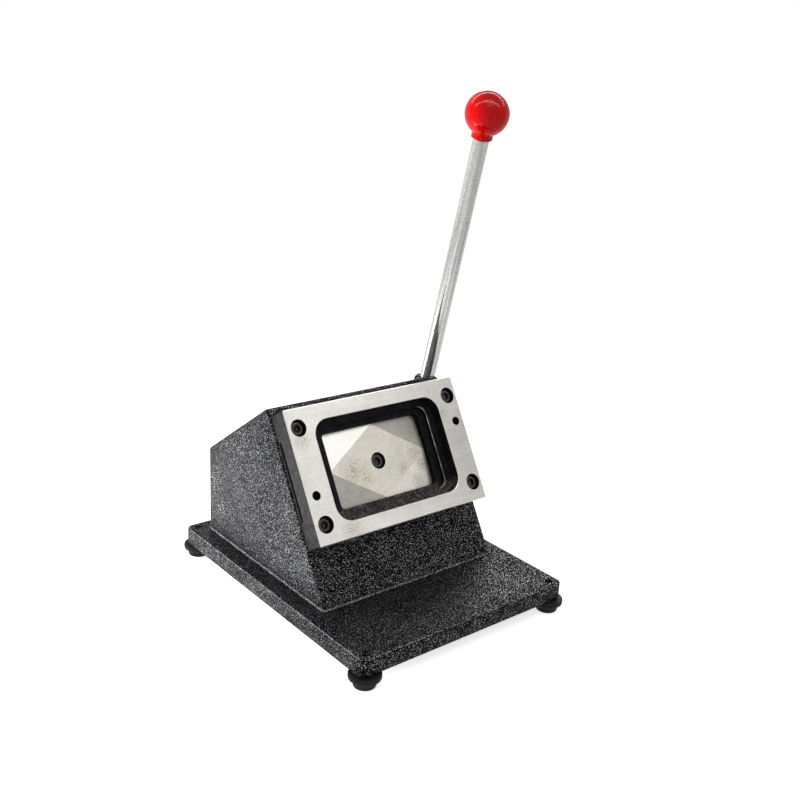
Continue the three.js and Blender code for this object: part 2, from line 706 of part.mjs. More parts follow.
function addRam(group) {
  const blockFront = punchBack - seatGap;
  const earWidth = 2 * (guideBoltX + ramEarMargin);
  const frontBlock = block(ramBlockWidth, ramBlockHeight, blockFront - earBack, 0, 0, earBack);
  const ears = block(earWidth, ramEarHeight, ramEarThickness, 0, 0, earBack);
  const guidePlaces = sides.map(({ sign }) => ({ x: sign * guideBoltX, y: 0 }));
  const earHoleFront = earFront + cutOverrun;
  const cut = [
    rod(punchScrew.radius + boreGap, punchScrewTip - seatGap, blockFront + cutOverrun, smallSides),
    rod(padSpigotRadius + boreGap, earBack - cutOverrun, earBack + padSpigotLength + seatGap, smallSides),
    ...at(guidePlaces, () => rod(earBushOuterRadius + boreGap, earBack - cutOverrun, earHoleFront)),
  ];
  addPiece(group, 'ram', shaped(frontBlock, { add: [ears], cut }), finishes.machinedSteel);

  const padFace = block(followerPadWidth, followerPadHeight, followerPadThickness, 0, 0, padBack);
  const spigotRoot = padBack + followerPadThickness / 2;
  const spigot = rod(padSpigotRadius, spigotRoot, earBack + padSpigotLength, smallSides);
  addPiece(group, 'follower_pad', shaped(padFace, { add: [spigot] }), finishes.groundSteel);
  for (const { name, sign } of sides) {
    const bush = tube(earBushInnerRadius, earBushOuterRadius, earBack, earFront);
    addPiece(group, `ram_bush_${name}`, bush, finishes.bronze, sign * guideBoltX);
  }
}

// Cross shaft and cam, in the die frame on the shaft's axis
function keyway(width) {
  return block(width, keyHeight + 2 * boreGap, keyWidth + 2 * boreGap)
    .translate(0, keyBottom + keyHeight / 2, -keyWidth / 2 - boreGap);
}

function addCrossShaft(group) {
  const from = seatGap - innerHalfWidth;
  const to = leverHubOuterX - shaftRecess;
  const endHoleFloor = to - endScrewEngagement - seatGap;
  const endHole = alongX(rod(endScrew.radius + boreGap, endHoleFloor, to + cutOverrun, smallSides));
  const cut = [keyway(camWidth + 2 * boreGap), endHole];
  const shaft = shaped(alongX(rod(shaftRadius, from, to)), { cut });
  addPiece(group, 'cross_shaft', shaft, finishes.machinedSteel);
}

// Distance from the shaft's axis to the flat pad that touches the cam, and its rate of change with the turn.
// It rises evenly while the lever is pulled, and falls back along a cubic curve with the same end slopes.
function camReach(turn) {
  const rising = turn <= camRiseEnd;
  if (rising) return { reach: camBaseRadius + camRisePerRadian * turn, rate: camRisePerRadian };
  const span = 2 * Math.PI - camRiseEnd + camRiseStart;
  const drop = camRisePerRadian * (camRiseEnd - camRiseStart);
  const share = (turn - camRiseEnd) / span;
  const fallen = share * share * (3 - 2 * share);
  const swell = camRisePerRadian * span * share * (1 - share) * (1 - 2 * share);
  const fallenRate = 6 * share * (1 - share) / span;
  const swellRate = camRisePerRadian * (1 - 6 * share + 6 * share * share);
  return { reach: camHighReach - drop * fallen + swell, rate: swellRate - drop * fallenRate };
}

function camOutline() {
  const points = [];
  for (let step = 0; step < camSteps; step += 1) {
    const turn = camRiseStart + step * 2 * Math.PI / camSteps;
    const { reach, rate } = camReach(turn);
    const sideways = reach * Math.sin(turn) + rate * Math.cos(turn);
    const outward = reach * Math.cos(turn) - rate * Math.sin(turn);
    points.push(new THREE.Vector2(sideways, outward));
  }
  return new THREE.Shape(points);
}

function addCam(group) {
  const bore = alongX(rod(shaftBoreRadius, -camWidth, camWidth));
  const cam = shaped(across(camOutline(), camWidth), { cut: [bore, keyway(2 * camWidth)] });
  addPiece(group, 'cam', cam, finishes.groundSteel);
  const key = block(camWidth, keyHeight, keyWidth, 0, keyBottom + keyHeight / 2, -keyWidth / 2);
  addPiece(group, 'cam_key', key, finishes.machinedSteel);
}

function addCollar(group) {
  const middleX = collarOuterX - collarWidth / 2;
  const ring = alongX(tube(shaftBoreRadius, collarRadius, collarOuterX - collarWidth, collarOuterX));
  const hole = rod(setScrew.radius + boreGap, shaftRadius, collarRadius + cutOverrun, smallSides)
    .rotateX(Math.PI).translate(middleX, 0, 0);
  addPiece(group, 'shaft_collar', shaped(ring, { cut: [hole] }), finishes.machinedSteel);
  addPiece(group, 'collar_set_screw', grubScrew(setScrew).rotateX(Math.PI), finishes.blackOxide,
    middleX, 0, -shaftBoreRadius);
}

function addShaftBushes(group) {
  const left = alongX(tube(shaftBoreRadius, bushRadius, -innerHalfWidth, blindBossInnerX));
  const right = alongX(turned([[shaftBoreRadius, innerHalfWidth], [bushRadius, innerHalfWidth],
    [bushRadius, bushFlangeInnerX], [bushFlangeRadius, bushFlangeInnerX],
    [bushFlangeRadius, bushFlangeOuterX], [shaftBoreRadius, bushFlangeOuterX]]));
  addPiece(group, 'shaft_bush_left', left, finishes.bronze);
  addPiece(group, 'shaft_bush_right', right, finishes.bronze);
}

function addStopPin(group) {
  const pin = alongX(rod(stopPinRadius, innerHalfWidth, housingWidth / 2 + stopPinProud, smallSides));
  addPiece(group, 'lever_stop_pin', pin, finishes.machinedSteel, 0, stopPinY, stopPinZ);
}

// Lever, in a frame on the shaft's axis with Z along the rod
function addLeverArm(group) {
  const hub = alongX(rod(leverHubRadius, leverHubInnerX, leverHubOuterX));
  const armShape = new THREE.Shape([
    new THREE.Vector2(-leverArmRootWidth / 2, 0),
    new THREE.Vector2(leverArmRootWidth / 2, 0),
    new THREE.Vector2(leverArmTipWidth / 2, leverArmLength),
    new THREE.Vector2(-leverArmTipWidth / 2, leverArmLength),
  ]);
  const arm = across(armShape, leverArmThickness).translate(leverX, 0, 0);
  const shoulder = leverSocketRadius - leverSocketChamfer;
  const socketBottom = leverSocketTop - leverSocketLength;
  const chamferFoot = leverSocketTop - leverSocketChamfer;
  const socket = turned([[0, socketBottom], [leverSocketRadius, socketBottom],
    [leverSocketRadius, chamferFoot], [shoulder, leverSocketTop], [0, leverSocketTop]])
    .translate(leverX, 0, 0);
  const shaftBore = alongX(rod(shaftBoreRadius, leverHubInnerX - cutOverrun, leverHubOuterX + cutOverrun));
  const rodBoreFloor = leverSocketTop - leverRodInSocket;
  const rodBore = rod(leverRodRadius + boreGap, rodBoreFloor, leverSocketTop + cutOverrun)
    .translate(leverX, 0, 0);
  const screwHole = rod(setScrew.radius + boreGap, shaftRadius, leverHubRadius + cutOverrun, smallSides)
    .rotateX(Math.PI).translate(leverX, 0, 0);
  const lever = shaped(hub, { add: [arm, socket], cut: [shaftBore, rodBore, screwHole] });
  addPiece(group, 'lever_arm', lever, finishes.hammertone);
  addPiece(group, 'lever_set_screw', grubScrew(setScrew).rotateX(Math.PI), finishes.blackOxide,
    leverX, 0, -shaftBoreRadius);
}

function addShaftEnd(group) {
  const washerInner = leverHubOuterX + seatGap;
  const washerOuter = washerInner + endWasherThickness;
  const screwSeat = washerOuter + seatGap;
  const shaftEnd = leverHubOuterX - shaftRecess;
  const washer = alongX(tube(endScrew.radius + boreGap, endWasherRadius, washerInner, washerOuter));
  const screw = alongX(socketScrew(endScrew, screwSeat - shaftEnd + endScrewEngagement)
    .translate(0, 0, screwSeat));
  addPiece(group, 'end_washer', washer, finishes.machinedSteel);
  addPiece(group, 'end_screw', screw, finishes.blackOxide);
}

function addLeverRod(group) {
  const shoulder = ballFromPivot - knobNeckEnd - seatGap;
  const from = leverSocketTop - leverRodInSocket + seatGap;
  const tip = shoulder + knobStudLength;
  const stem = turned([[0, from], [leverRodRadius, from], [leverRodRadius, shoulder],
    [knobStudRadius, shoulder], [knobStudRadius, tip], [0, tip]]);
  addPiece(group, 'lever_rod', stem, finishes.plated, leverX);
}

function addKnob(group) {
  const neckTurn = -Math.acos(knobNeckRadius / ballRadius);
  const skin = [];
  for (let ring = 0; ring < ballRings; ring += 1) {
    const turn = neckTurn + (Math.PI / 2 - neckTurn) * ring / ballRings;
    skin.push([ballRadius * Math.cos(turn), ballRadius * Math.sin(turn)]);
  }
  const boreTop = ballBoreDepth - knobNeckEnd;
  const bore = [[0, boreTop], [ballBoreRadius, boreTop]];
  const neck = [[ballBoreRadius, -knobNeckEnd], [knobNeckRadius, -knobNeckEnd]];
  const ball = turned([...neck, ...skin, [0, ballRadius], ...bore]);
  const insertRadius = ballBoreRadius - boreGap;
  const insert = tube(knobStudRadius + boreGap, insertRadius, -knobNeckEnd, boreTop - seatGap, smallSides);
  addPiece(group, 'ball_knob', ball, finishes.redPlastic, leverX, 0, ballFromPivot);
  addPiece(group, 'knob_insert', insert, finishes.brass, leverX, 0, ballFromPivot);
}

// Assembly
const cutter = new THREE.Group();
addBase(cutter);
addFeet(cutter);
addHousing(cutter);
addHousingBolts(cutter);
addStopPin(cutter);

const dieFrame = placeInDieFrame(new THREE.Group());
cutter.add(dieFrame);
addGuidePlate(dieFrame);
addSlotSpacers(dieFrame);
addDiePlate(dieFrame);
addDieFasteners(dieFrame);
addGuides(dieFrame);
addPunch(dieFrame);
addRam(dieFrame);

const shaftFrame = new THREE.Group();
shaftFrame.position.z = camAxisLevel;
dieFrame.add(shaftFrame);
addShaftBushes(shaftFrame);
addCrossShaft(shaftFrame);
addCam(shaftFrame);
addCollar(shaftFrame);

const leverFrame = new THREE.Group();
leverFrame.position.set(0, pivotY, pivotZ);
leverFrame.rotation.x = leverLean;
cutter.add(leverFrame);
addLeverArm(leverFrame);
addShaftEnd(leverFrame);
addLeverRod(leverFrame);
addKnob(leverFrame);

const outline = new THREE.Box3().setFromObject(cutter, true);
const middle = outline.getCenter(new THREE.Vector3());
cutter.position.set(-middle.x, -middle.y, 0);

console.log(`least gap between curls of a return spring: ${leastSpringGap().toFixed(2)} mm`);
const pivot = new THREE.Vector3(leverX - middle.x, pivotY - middle.y, pivotZ);
console.log(`lever pivot: ${pivot.toArray().map((value) => value.toFixed(3)).join(', ')} mm`);

export default cutter;
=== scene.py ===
"""Looks of the card cutter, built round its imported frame.

Sizes are written in millimetres. Each sub-assembly is a class that builds its pieces in its own local
frame and places them in the part's frame, in metres, where the finished pieces stay.
"""

import logging
import math
from abc import ABC, abstractmethod
from collections.abc import Callable, Mapping, Sequence
from dataclasses import dataclass
from enum import Enum
from functools import cache
from typing import Any

import bmesh
import bpy
from mathutils import Euler, Matrix, Vector


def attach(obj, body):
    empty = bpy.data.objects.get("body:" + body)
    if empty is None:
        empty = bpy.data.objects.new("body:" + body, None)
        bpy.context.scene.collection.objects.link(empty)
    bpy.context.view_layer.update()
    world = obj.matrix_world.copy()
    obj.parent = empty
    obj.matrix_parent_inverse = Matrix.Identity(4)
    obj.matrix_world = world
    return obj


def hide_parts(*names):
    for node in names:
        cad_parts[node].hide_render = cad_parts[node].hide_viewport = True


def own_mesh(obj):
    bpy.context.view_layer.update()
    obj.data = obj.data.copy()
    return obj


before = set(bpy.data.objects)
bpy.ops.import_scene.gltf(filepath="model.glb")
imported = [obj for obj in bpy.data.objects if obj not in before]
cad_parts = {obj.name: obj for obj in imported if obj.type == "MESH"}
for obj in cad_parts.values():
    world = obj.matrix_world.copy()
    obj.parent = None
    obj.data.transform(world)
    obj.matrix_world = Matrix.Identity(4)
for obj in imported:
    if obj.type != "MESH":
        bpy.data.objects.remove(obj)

# A millimetre in metres, and how near to each other points of a form merge, in millimetres
MM = 0.001
SEAM = 1e-5
Point = tuple[float, float]
Color = tuple[float, float, float]
Place = tuple[float, float, float]
Zoning = Callable[[Vector, Vector], int]

log = logging.getLogger("card_cutter")


class Body(Enum):
    """The bodies of the frame that pieces ride on."""

    FRAME = "frame"
    RAM = "ram"
    LEVER = "lever"


class Side(Enum):
    """Left and right, with the sign of X."""

    LEFT = -1
    RIGHT = 1

    @property
    def label(self) -> str:
        """The side's name as the frame's nodes write it."""
        return self.name.lower()


def linked(name: str, data: bpy.types.ID) -> bpy.types.Object:
    """A new object in the scene.

    Args:
        name: Its name.
        data: Its mesh, lamp or camera.

    Returns:
        The object.
    """
    shown = bpy.data.objects.new(name, data)
    bpy.context.scene.collection.objects.link(shown)
    return shown


# Node trees


class Socket:
    """An output socket of a node tree. Python's operators on it add Math nodes."""

    def __init__(self, canvas: "Canvas", socket: bpy.types.NodeSocket) -> None:
        """Wraps a socket.

        Args:
            canvas: The tree it belongs to.
            socket: The output socket.
        """
        self.canvas = canvas
        self.socket = socket

    def _math(self, operation: str, left: "Socket | float", right: "Socket | float") -> "Socket":
        """Adds a Math node on two values.

        Args:
            operation: The Math node's operation.
            left: The first value.
            right: The second value.

        Returns:
            The node's result.
        """
        return self.canvas.node("ShaderNodeMath", {"operation": operation}, {0: left, 1: right})

    def __add__(self, other: "Socket | float") -> "Socket":
        """This value plus another."""
        return self._math("ADD", self, other)

    __radd__ = __add__

    def __sub__(self, other: "Socket | float") -> "Socket":
        """This value less another."""
        return self._math("SUBTRACT", self, other)

    def __rsub__(self, other: float) -> "Socket":
        """A number less this value."""
        return self._math("SUBTRACT", other, self)

    def __mul__(self, other: "Socket | float") -> "Socket":
        """This value times another."""
        return self._math("MULTIPLY", self, other)

    __rmul__ = __mul__

    def __truediv__(self, other: "Socket | float") -> "Socket":
        """This value over another."""
        return self._math("DIVIDE", self, other)

    def at_least(self, other: "Socket | float") -> "Socket":
        """The larger of this value and another."""
        return self._math("MAXIMUM", self, other)

    def at_most(self, other: "Socket | float") -> "Socket":
        """The smaller of this value and another."""
        return self._math("MINIMUM", self, other)

    def sine(self) -> "Socket":
        """The sine of this angle."""
        return self._math("SINE", self, 0.0)

    def cosine(self) -> "Socket":
        """The cosine of this angle."""
        return self._math("COSINE", self, 0.0)


Value = Socket | float | int | Sequence[float] | bpy.types.ID


class Canvas:
    """A node tree that is being drawn, for a material or for Geometry Nodes."""

    def __init__(self, tree: bpy.types.NodeTree) -> None:
        """Starts on a tree.

        Args:
            tree: The tree, which is emptied.
        """
        self.tree = tree
        tree.nodes.clear()

    def node(self, kind: str, settings: Mapping[str, Any] | None = None,
             inputs: Mapping[int | str, Value] | None = None, output: int | str = 0) -> Socket:
        """Adds a node of any type.

        Args:
            kind: The node's type.
            settings: Its properties, set first. A ramp's stops are pairs of a position and a colour.
            inputs: Values or sockets by the input's identifier, name or number.
            output: Which output to give back, by number, identifier or name.

        Returns:
            The chosen output.
        """
        node = self.tree.nodes.new(kind)
        for name, value in (settings or {}).items():
            if name == "stops":
                self._set_stops(node.color_ramp, value)
            else:
                setattr(node, name, value)
        for key, value in (inputs or {}).items():
            socket = self._find(node.inputs, key)
            if isinstance(value, Socket):
                self.tree.links.new(value.socket, socket)
            else:
                socket.default_value = value
        return Socket(self, self._find(node.outputs, output))

    @staticmethod
    def _set_stops(ramp: bpy.types.ColorRamp, stops: Sequence[tuple[float, float]]) -> None:
        """Gives a ramp its stops.

        Args:
            ramp: The ramp.
            stops: Pairs of a position and a grey value.
        """
        while len(ramp.elements) < len(stops):
            ramp.elements.new(1.0)
        for element, (position, grey) in zip(ramp.elements, stops):
            element.position = position
            element.color = (grey, grey, grey, 1.0)

    @staticmethod
    def _find(sockets: Any, key: int | str) -> bpy.types.NodeSocket:
        """Finds a socket.

        Args:
            sockets: A node's inputs or outputs.
            key: Its number, identifier or name.

        Returns:
            The socket.
        """
        if isinstance(key, int):
            return sockets[key]
        for socket in sockets:
            if socket.identifier == key:
                return socket
        return sockets[key]

    def point(self, place: Matrix | None = None) -> Socket:
        """Object coordinates in millimetres, in a local frame.

        Args:
            place: The local frame in the part's frame, in millimetres.

        Returns:
            The coordinates.
        """
        coords = self.node("ShaderNodeTexCoord", output="Object")
        in_mm = self.node("ShaderNodeVectorMath", {"operation": "SCALE"}, {0: coords, "Scale": 1 / MM})
        if place is None:
            return in_mm
        return self.node("ShaderNodeMapping", {"vector_type": "TEXTURE"}, {
            "Vector": in_mm, "Location": place.to_translation(), "Rotation": place.to_euler()})

    def stretched(self, vector: Socket, sizes: Sequence[float]) -> Socket:
        """A vector in which a pattern of size 1 gets other sizes.

        Args:
            vector: The coordinates in millimetres.
            sizes: The pattern's size along X, Y and Z, in millimetres.

        Returns:
            The coordinates for a texture of scale 1.
        """
        shares = tuple(1 / size for size in sizes)
        return self.node("ShaderNodeVectorMath", {"operation": "MULTIPLY"}, {0: vector, 1: shares})

    def noise(self, vector: Socket, size: float = 1.0, detail: float = 2.0, roughness: float = 0.5) -> Socket:
        """Soft noise from 0 to 1.

        Args:
            vector: The coordinates.
            size: How large its patches are, in the coordinates' unit.
            detail: How many finer layers it has.
            roughness: How strong these are.

        Returns:
            The noise value.
        """
        return self.node("ShaderNodeTexNoise", {}, {
            "Vector": vector, "Scale": 1 / size, "Detail": detail, "Roughness": roughness}, "Fac")

    def ramp(self, value: Socket, *stops: tuple[float, float]) -> Socket:
        """Bends a value along stops.

        Args:
            value: The value.
            stops: Pairs of a position and the value there.

        Returns:
            The bent value.
        """
        color = self.node("ShaderNodeValToRGB", {"stops": stops}, {"Fac": value})
        return self.node("ShaderNodeSeparateColor", {}, {"Color": color}, "Red")

    def mixed(self, share: Socket, first: "Color | Socket", second: "Color | Socket") -> Socket:
        """Mixes two colours.

        Args:
            share: How much of the second.
            first: The first colour.
            second: The second colour.

        Returns:
            The mixed colour.
        """
        ends = [end if isinstance(end, Socket) else (*end, 1.0) for end in (first, second)]
        return self.node("ShaderNodeMix", {"data_type": "RGBA"}, {
            "Factor_Float": share, "A_Color": ends[0], "B_Color": ends[1]}, "Result_Color")

    def bump(self, height: Socket, depth: float) -> Socket:
        """A normal that follows a height.

        Args:
            height: The height from 0 to 1.
            depth: How deep it is, in millimetres.

        Returns:
            The normal.
        """
        return self.node("ShaderNodeBump", {}, {"Height": height, "Distance": depth * MM, "Strength": 1.0})

    def shader(self, inputs: Mapping[int | str, Value]) -> Socket:
        """Adds a Principled shader.

        Args:
            inputs: The shader's values or sockets.

        Returns:
            The shader.
        """
        return self.node("ShaderNodeBsdfPrincipled", {}, inputs)

    def surface(self, inputs: Mapping[int | str, Value]) -> None:
        """Ends a material's tree in a Principled shader.

        Args:
            inputs: The shader's values or sockets.
        """
        self.node_output(self.shader(inputs))

    def node_output(self, shader: Socket) -> None:
        """Joins a shader to the material's output.

        Args:
            shader: The shader.
        """
        output = self.tree.nodes.new("ShaderNodeOutputMaterial")
        self.tree.links.new(shader.socket, output.inputs["Surface"])


# Where the sub-assemblies sit


@dataclass(frozen=True)
class Layout:
    """The sub-assemblies' places in the part's frame, in millimetres and degrees.

    Attributes:
        middle_x: The plane halfway between the cutter's sides.
        die_y: The die's centre, front to back.
        die_z: The die's centre over the floor.
        front_lean: How far the front leans back.
        shaft_level: The cross shaft's place along the punch axis.
        base_top: The base's top over the floor.
        lever_lean: How far the lever leans forward at rest.
    """

    middle_x: float = -5.175
    die_y: float = -6.1454
    die_z: float = 98.7745
    front_lean: float = 31.0
    shaft_level: float = -79.2
    base_top: float = 22.5
    lever_lean: float = 12.6

    @property
    def floor(self) -> Matrix:
        """The frame on the floor below the base's middle."""
        return Matrix.Translation((self.middle_x, 0.0, 0.0))

    @property
    def die(self) -> Matrix:
        """The frame in the housing's front face, with Z outward along the punch axis and Y up the slope."""
        tilt = Matrix.Rotation(math.radians(90 - self.front_lean), 4, "X")
        return Matrix.Translation((self.middle_x, self.die_y, self.die_z)) @ tilt

    @property
    def shaft(self) -> Matrix:
        """The frame on the cross shaft's axis, turned as the die."""
        return self.die @ Matrix.Translation((0.0, 0.0, self.shaft_level))

    @property
    def pivot(self) -> Vector:
        """The cross shaft's axis in the middle plane."""
        return self.shaft.to_translation()

    @property
    def lever(self) -> Matrix:
        """The frame on the cross shaft's axis, with Z along the lever rod."""
        return Matrix.Translation(self.pivot) @ Matrix.Rotation(math.radians(self.lever_lean), 4, "X")


LAYOUT = Layout()
ALONG_X = Matrix.Rotation(math.radians(90), 4, "Y")
UPSIDE_DOWN = Matrix.Rotation(math.radians(180), 4, "X")
GRAIN_TURN = Euler((0.5, 0.7, 0.3)).to_matrix().to_4x4().freeze()


# Finishes


@dataclass(frozen=True)
class Finish(ABC):
    """A surface finish, made once as a material.

    Attributes:
        name: The material's name.
        slot: The record's material slot. It is not used.
    """

    name: str
    slot: str

    @cache
    def material(self) -> bpy.types.Material:
        """The finish as a material."""
        material = bpy.data.materials.new(self.name)
        material.use_nodes = True
        self.shade(Canvas(material.node_tree))
        return material

    @abstractmethod
    def shade(self, canvas: Canvas) -> None:
        """Draws the shader's nodes.

        Args:
            canvas: The material's empty tree.
        """


@dataclass(frozen=True)
class TexturedPaint(Finish):
    """Black paint that has dried in a fine net of glossy crests round dull dimples.

    Attributes:
        dimple: The colour in the dimples.
        crest: The colour on the crests' flanks.
        speck: The colour on the crests.
        grain: The distance between crests, in millimetres.
        depth: The crests' height, in millimetres.
        sheen: The index of refraction in the dimples.
        shine: The index of refraction on the crests.
    """

    dimple: Color = (0.0016, 0.0016, 0.002)
    crest: Color = (0.008, 0.008, 0.0088)
    speck: Color = (0.26, 0.26, 0.27)
    grain: float = 0.8
    depth: float = 0.3
    sheen: float = 1.07
    shine: float = 2.4

    def shade(self, canvas: Canvas) -> None:
        """Draws crests where two layers of noise meet, which alone carry the paint's gloss."""
        point = canvas.point(GRAIN_TURN)
        swell = canvas.noise(point, size=self.grain, detail=1.5)
        fine = canvas.noise(point, size=0.4 * self.grain, roughness=0.6)
        broad = canvas.noise(point, size=26.0, detail=3.0)
        relief = swell + fine * 0.3 + broad * 0.1
        crests = canvas.ramp(relief, (0.795, 0.0), (0.83, 1.0))
        flanks = canvas.ramp(swell, (0.42, 0.0), (0.62, 1.0))
        normal = canvas.bump(relief, self.depth)
        dull = canvas.shader({
            "Base Color": canvas.mixed(flanks, self.dimple, self.crest),
            "Roughness": 0.4 + fine * 0.2, "IOR": self.sheen, "Normal": normal})
        glossy = canvas.shader({
            "Base Color": canvas.mixed(broad, self.speck, self.crest),
            "Roughness": 0.2 + fine * 0.1, "IOR": self.shine, "Normal": normal})
        canvas.node_output(canvas.node("ShaderNodeMixShader", {}, {0: crests, 1: dull, 2: glossy}))


@dataclass(frozen=True)
class GroundSteel(Finish):
    """Surface ground steel with fine lines along the wheel's way, soft clouds, a few pits and a broad painted
    shade.

    Attributes:
        color: The steel's colour.
        place: The frame whose X axis the grinding lines follow.
        turn: The angle of the lines in that frame's X-Y plane, in degrees.
        gloss: The least roughness.
        clouding: How strongly clouds and lines darken it.
        pitting: How dark its stray pits are.
        smudges: Spots that oil and rust have stained and pitted, as places along X and Y and a radius.
        smudge_level: Their height over the frame's origin.
        film: A broad painted shade that darkens it towards one side, as a place along X and Y, a radius and a
            strength.
    """

    slot: str = "ground_steel"
    color: Color = (0.66, 0.635, 0.6)
    place: Matrix = LAYOUT.die.freeze()
    turn: float = 0.0
    gloss: float = 0.3
    clouding: float = 0.4
    pitting: float = 0.0
    smudges: tuple[tuple[float, float, float], ...] = ()
    smudge_level: float = 0.0
    film: tuple[float, float, float, float] = (0.0, 0.0, 1.0, 0.0)

    def spot(self, canvas: Canvas, across: float, up: float, radius: float) -> Socket:
        """A round spot that fades outwards.

        Args:
            canvas: The material's tree.
            across: Its middle along X.
            up: Its middle along Y.
            radius: Its radius.

        Returns:
            1 in the middle, 0 from the radius outwards.
        """
        offset = canvas.node("ShaderNodeVectorMath", {"operation": "SUBTRACT"}, {
            0: canvas.point(self.place), 1: (across, up, self.smudge_level)})
        away = canvas.node("ShaderNodeVectorMath", {"operation": "LENGTH"}, {0: offset}, "Value")
        return canvas.ramp(away / radius, (0.0, 1.0), (1.0, 0.0))

    def stained(self, canvas: Canvas) -> Socket | float:
        """How much a smudge has stained a point.

        Args:
            canvas: The material's tree.

        Returns:
            1 in the middle of a smudge, 0 away from all.
        """
        stain: Socket | float = 0.0
        for smudge in self.smudges:
            stain = self.spot(canvas, *smudge).at_least(stain)
        return stain

    def shade(self, canvas: Canvas) -> None:
        """Draws the lines, bands, clouds, pits and smudges, and the broad painted shade."""
        turned = self.place @ Matrix.Rotation(math.radians(self.turn), 4, "Z")
        point = canvas.point(turned)
        lines = canvas.noise(canvas.stretched(point, (26.0, 0.4, 0.4)), detail=3.0, roughness=0.65)
        bands = canvas.noise(canvas.stretched(point, (70.0, 3.0, 3.0)), roughness=0.6)
        clouds = canvas.noise(point, size=14.0, detail=4.0, roughness=0.62)
        mottle = canvas.noise(point, size=1.4, detail=3.0, roughness=0.7)
        stain = self.stained(canvas)
        pits = canvas.ramp(canvas.noise(point, roughness=0.6), (0.54, 0.0), (0.62, 1.0))
        strays = canvas.ramp(mottle + clouds * 0.3, (0.78, 0.0), (0.86, 1.0)) * self.pitting
        dirt = (pits * stain).at_least(strays)
        clouded = 1 - (lines * 0.35 + bands * 0.35 + clouds * 0.6 + mottle * 0.9 - 1.1) * self.clouding
        # Painted shade: a broad soft spot darkens the steel's colour towards one side.
        shade = clouded - self.spot(canvas, *self.film[:3]) * self.film[3]
        grey = canvas.node("ShaderNodeCombineColor", {}, {0: shade, 1: shade, 2: shade})
        clean = canvas.node("ShaderNodeMix", {"data_type": "RGBA", "blend_type": "MULTIPLY"}, {
            "Factor_Float": 1.0, "A_Color": (*self.color, 1.0), "B_Color": grey}, "Result_Color")
        tinted = canvas.mixed(stain * 0.35 if self.smudges else 0.0, clean, (0.5, 0.44, 0.3))
        canvas.surface({
            "Base Color": canvas.mixed(dirt, tinted, (0.09, 0.075, 0.055)),
            "Metallic": 1 - dirt * 0.6,
            "Roughness": self.gloss + lines * 0.1 + clouds * 0.08 + dirt * 0.25,
            "Normal": canvas.bump(lines * 0.7 + mottle * 0.4 - dirt * 0.6, 0.012),
        })


@dataclass(frozen=True)
class DarkSteel(Finish):
    """Steel under a black oxide or scale, a little lighter where it is rubbed.

    Attributes:
        color: The oxide's colour.
        rubbed: The colour where it is rubbed.
        gloss: The least roughness.
        cover: The refractive index of the oxide, which sets its gloss where it isn't rubbed.
        cloud: The size of the rubbed clouds, in millimetres.
    """

    color: Color = (0.008, 0.008, 0.009)
    rubbed: Color = (0.06, 0.06, 0.062)
    gloss: float = 0.32
    cover: float = 1.45
    cloud: float = 4.0

    def shade(self, canvas: Canvas) -> None:
        """Draws clouds of wear and a fine grain."""
        point = canvas.point()
        clouds = canvas.noise(point, size=self.cloud, detail=4.0, roughness=0.65)
        grain = canvas.noise(point, size=0.35)
        wear = canvas.ramp(clouds + grain * 0.25, (0.52, 0.0), (0.85, 1.0))
        canvas.surface({
            "Base Color": canvas.mixed(wear, self.color, self.rubbed),
            "Metallic": wear * 0.7,
            "Roughness": self.gloss + grain * 0.14,
            "IOR": self.cover,
            "Normal": canvas.bump(grain, 0.02),
        })


@dataclass(frozen=True)
class TurnedMetal(Finish):
    """Metal turned or drawn along an axis, with fine rings or lines and a little handling.

    Attributes:
        color: The metal's colour.
        tarnish: The colour of its darker clouds.
        place: The frame along whose Z axis it was turned or drawn.
        gloss: The least roughness.
        line: The lines' size along X, Y and Z of that frame, in millimetres.
        depth: The lines' depth, in millimetres.
        cloud: The darker clouds' size along X, Y and Z of that frame, in millimetres.
        metallic: How metallic it is, less than 1 under a haze.
    """

    color: Color = (0.4, 0.4, 0.41)
    tarnish: Color = (0.24, 0.235, 0.23)
    place: Matrix = Matrix.Identity(4).freeze()
    gloss: float = 0.28
    line: tuple[float, float, float] = (30.0, 30.0, 0.3)
    depth: float = 0.01
    cloud: tuple[float, float, float] = (11.0, 11.0, 11.0)
    metallic: float = 1.0

    def shade(self, canvas: Canvas) -> None:
        """Draws the lines over soft clouds."""
        point = canvas.point(self.place)
        lines = canvas.noise(canvas.stretched(point, self.line), detail=3.0, roughness=0.6)
        clouds = canvas.noise(canvas.stretched(point, self.cloud), detail=4.0, roughness=0.6)
        marks = canvas.noise(point, size=1.3, detail=3.0, roughness=0.7)
        dull = canvas.ramp(clouds * 0.8 + marks * 0.3, (0.4, 0.0), (0.72, 1.0))
        canvas.surface({
            "Base Color": canvas.mixed(dull, self.color, self.tarnish),
            "Metallic": self.metallic,
            "Roughness": self.gloss + lines * 0.08 + dull * 0.1,
            "Normal": canvas.bump(lines, self.depth),
        })


@dataclass(frozen=True)
class MouldedPlastic(Finish):
    """Glossy moulded plastic with faint flow marks and hairline scuffs.

    Attributes:
        color: The plastic's colour.
        deep: The colour where it looks deeper.
    """

    color: Color = (0.56, 0.001, 0.002)
    deep: Color = (0.46, 0.0008, 0.0015)

    def shade(self, canvas: Canvas) -> None:
        """Draws flow marks in the colour and scuffs in the gloss."""
        point = canvas.point()
        flow = canvas.noise(canvas.stretched(point, (9.0, 9.0, 16.0)), detail=3.0)
        streaks = canvas.noise(canvas.stretched(point, (0.4, 5.0, 2.5)))
        scuffs = canvas.ramp(streaks, (0.6, 0.0), (0.75, 1.0))
        orange_peel = canvas.noise(point, size=2.5, detail=1.0)
        canvas.surface({
            "Base Color": canvas.mixed(flow, self.color, self.deep),
            "Roughness": 0.1 + scuffs * 0.06,
            "Specular IOR Level": 0.1,
            "Normal": canvas.bump(orange_peel, 0.003),
        })


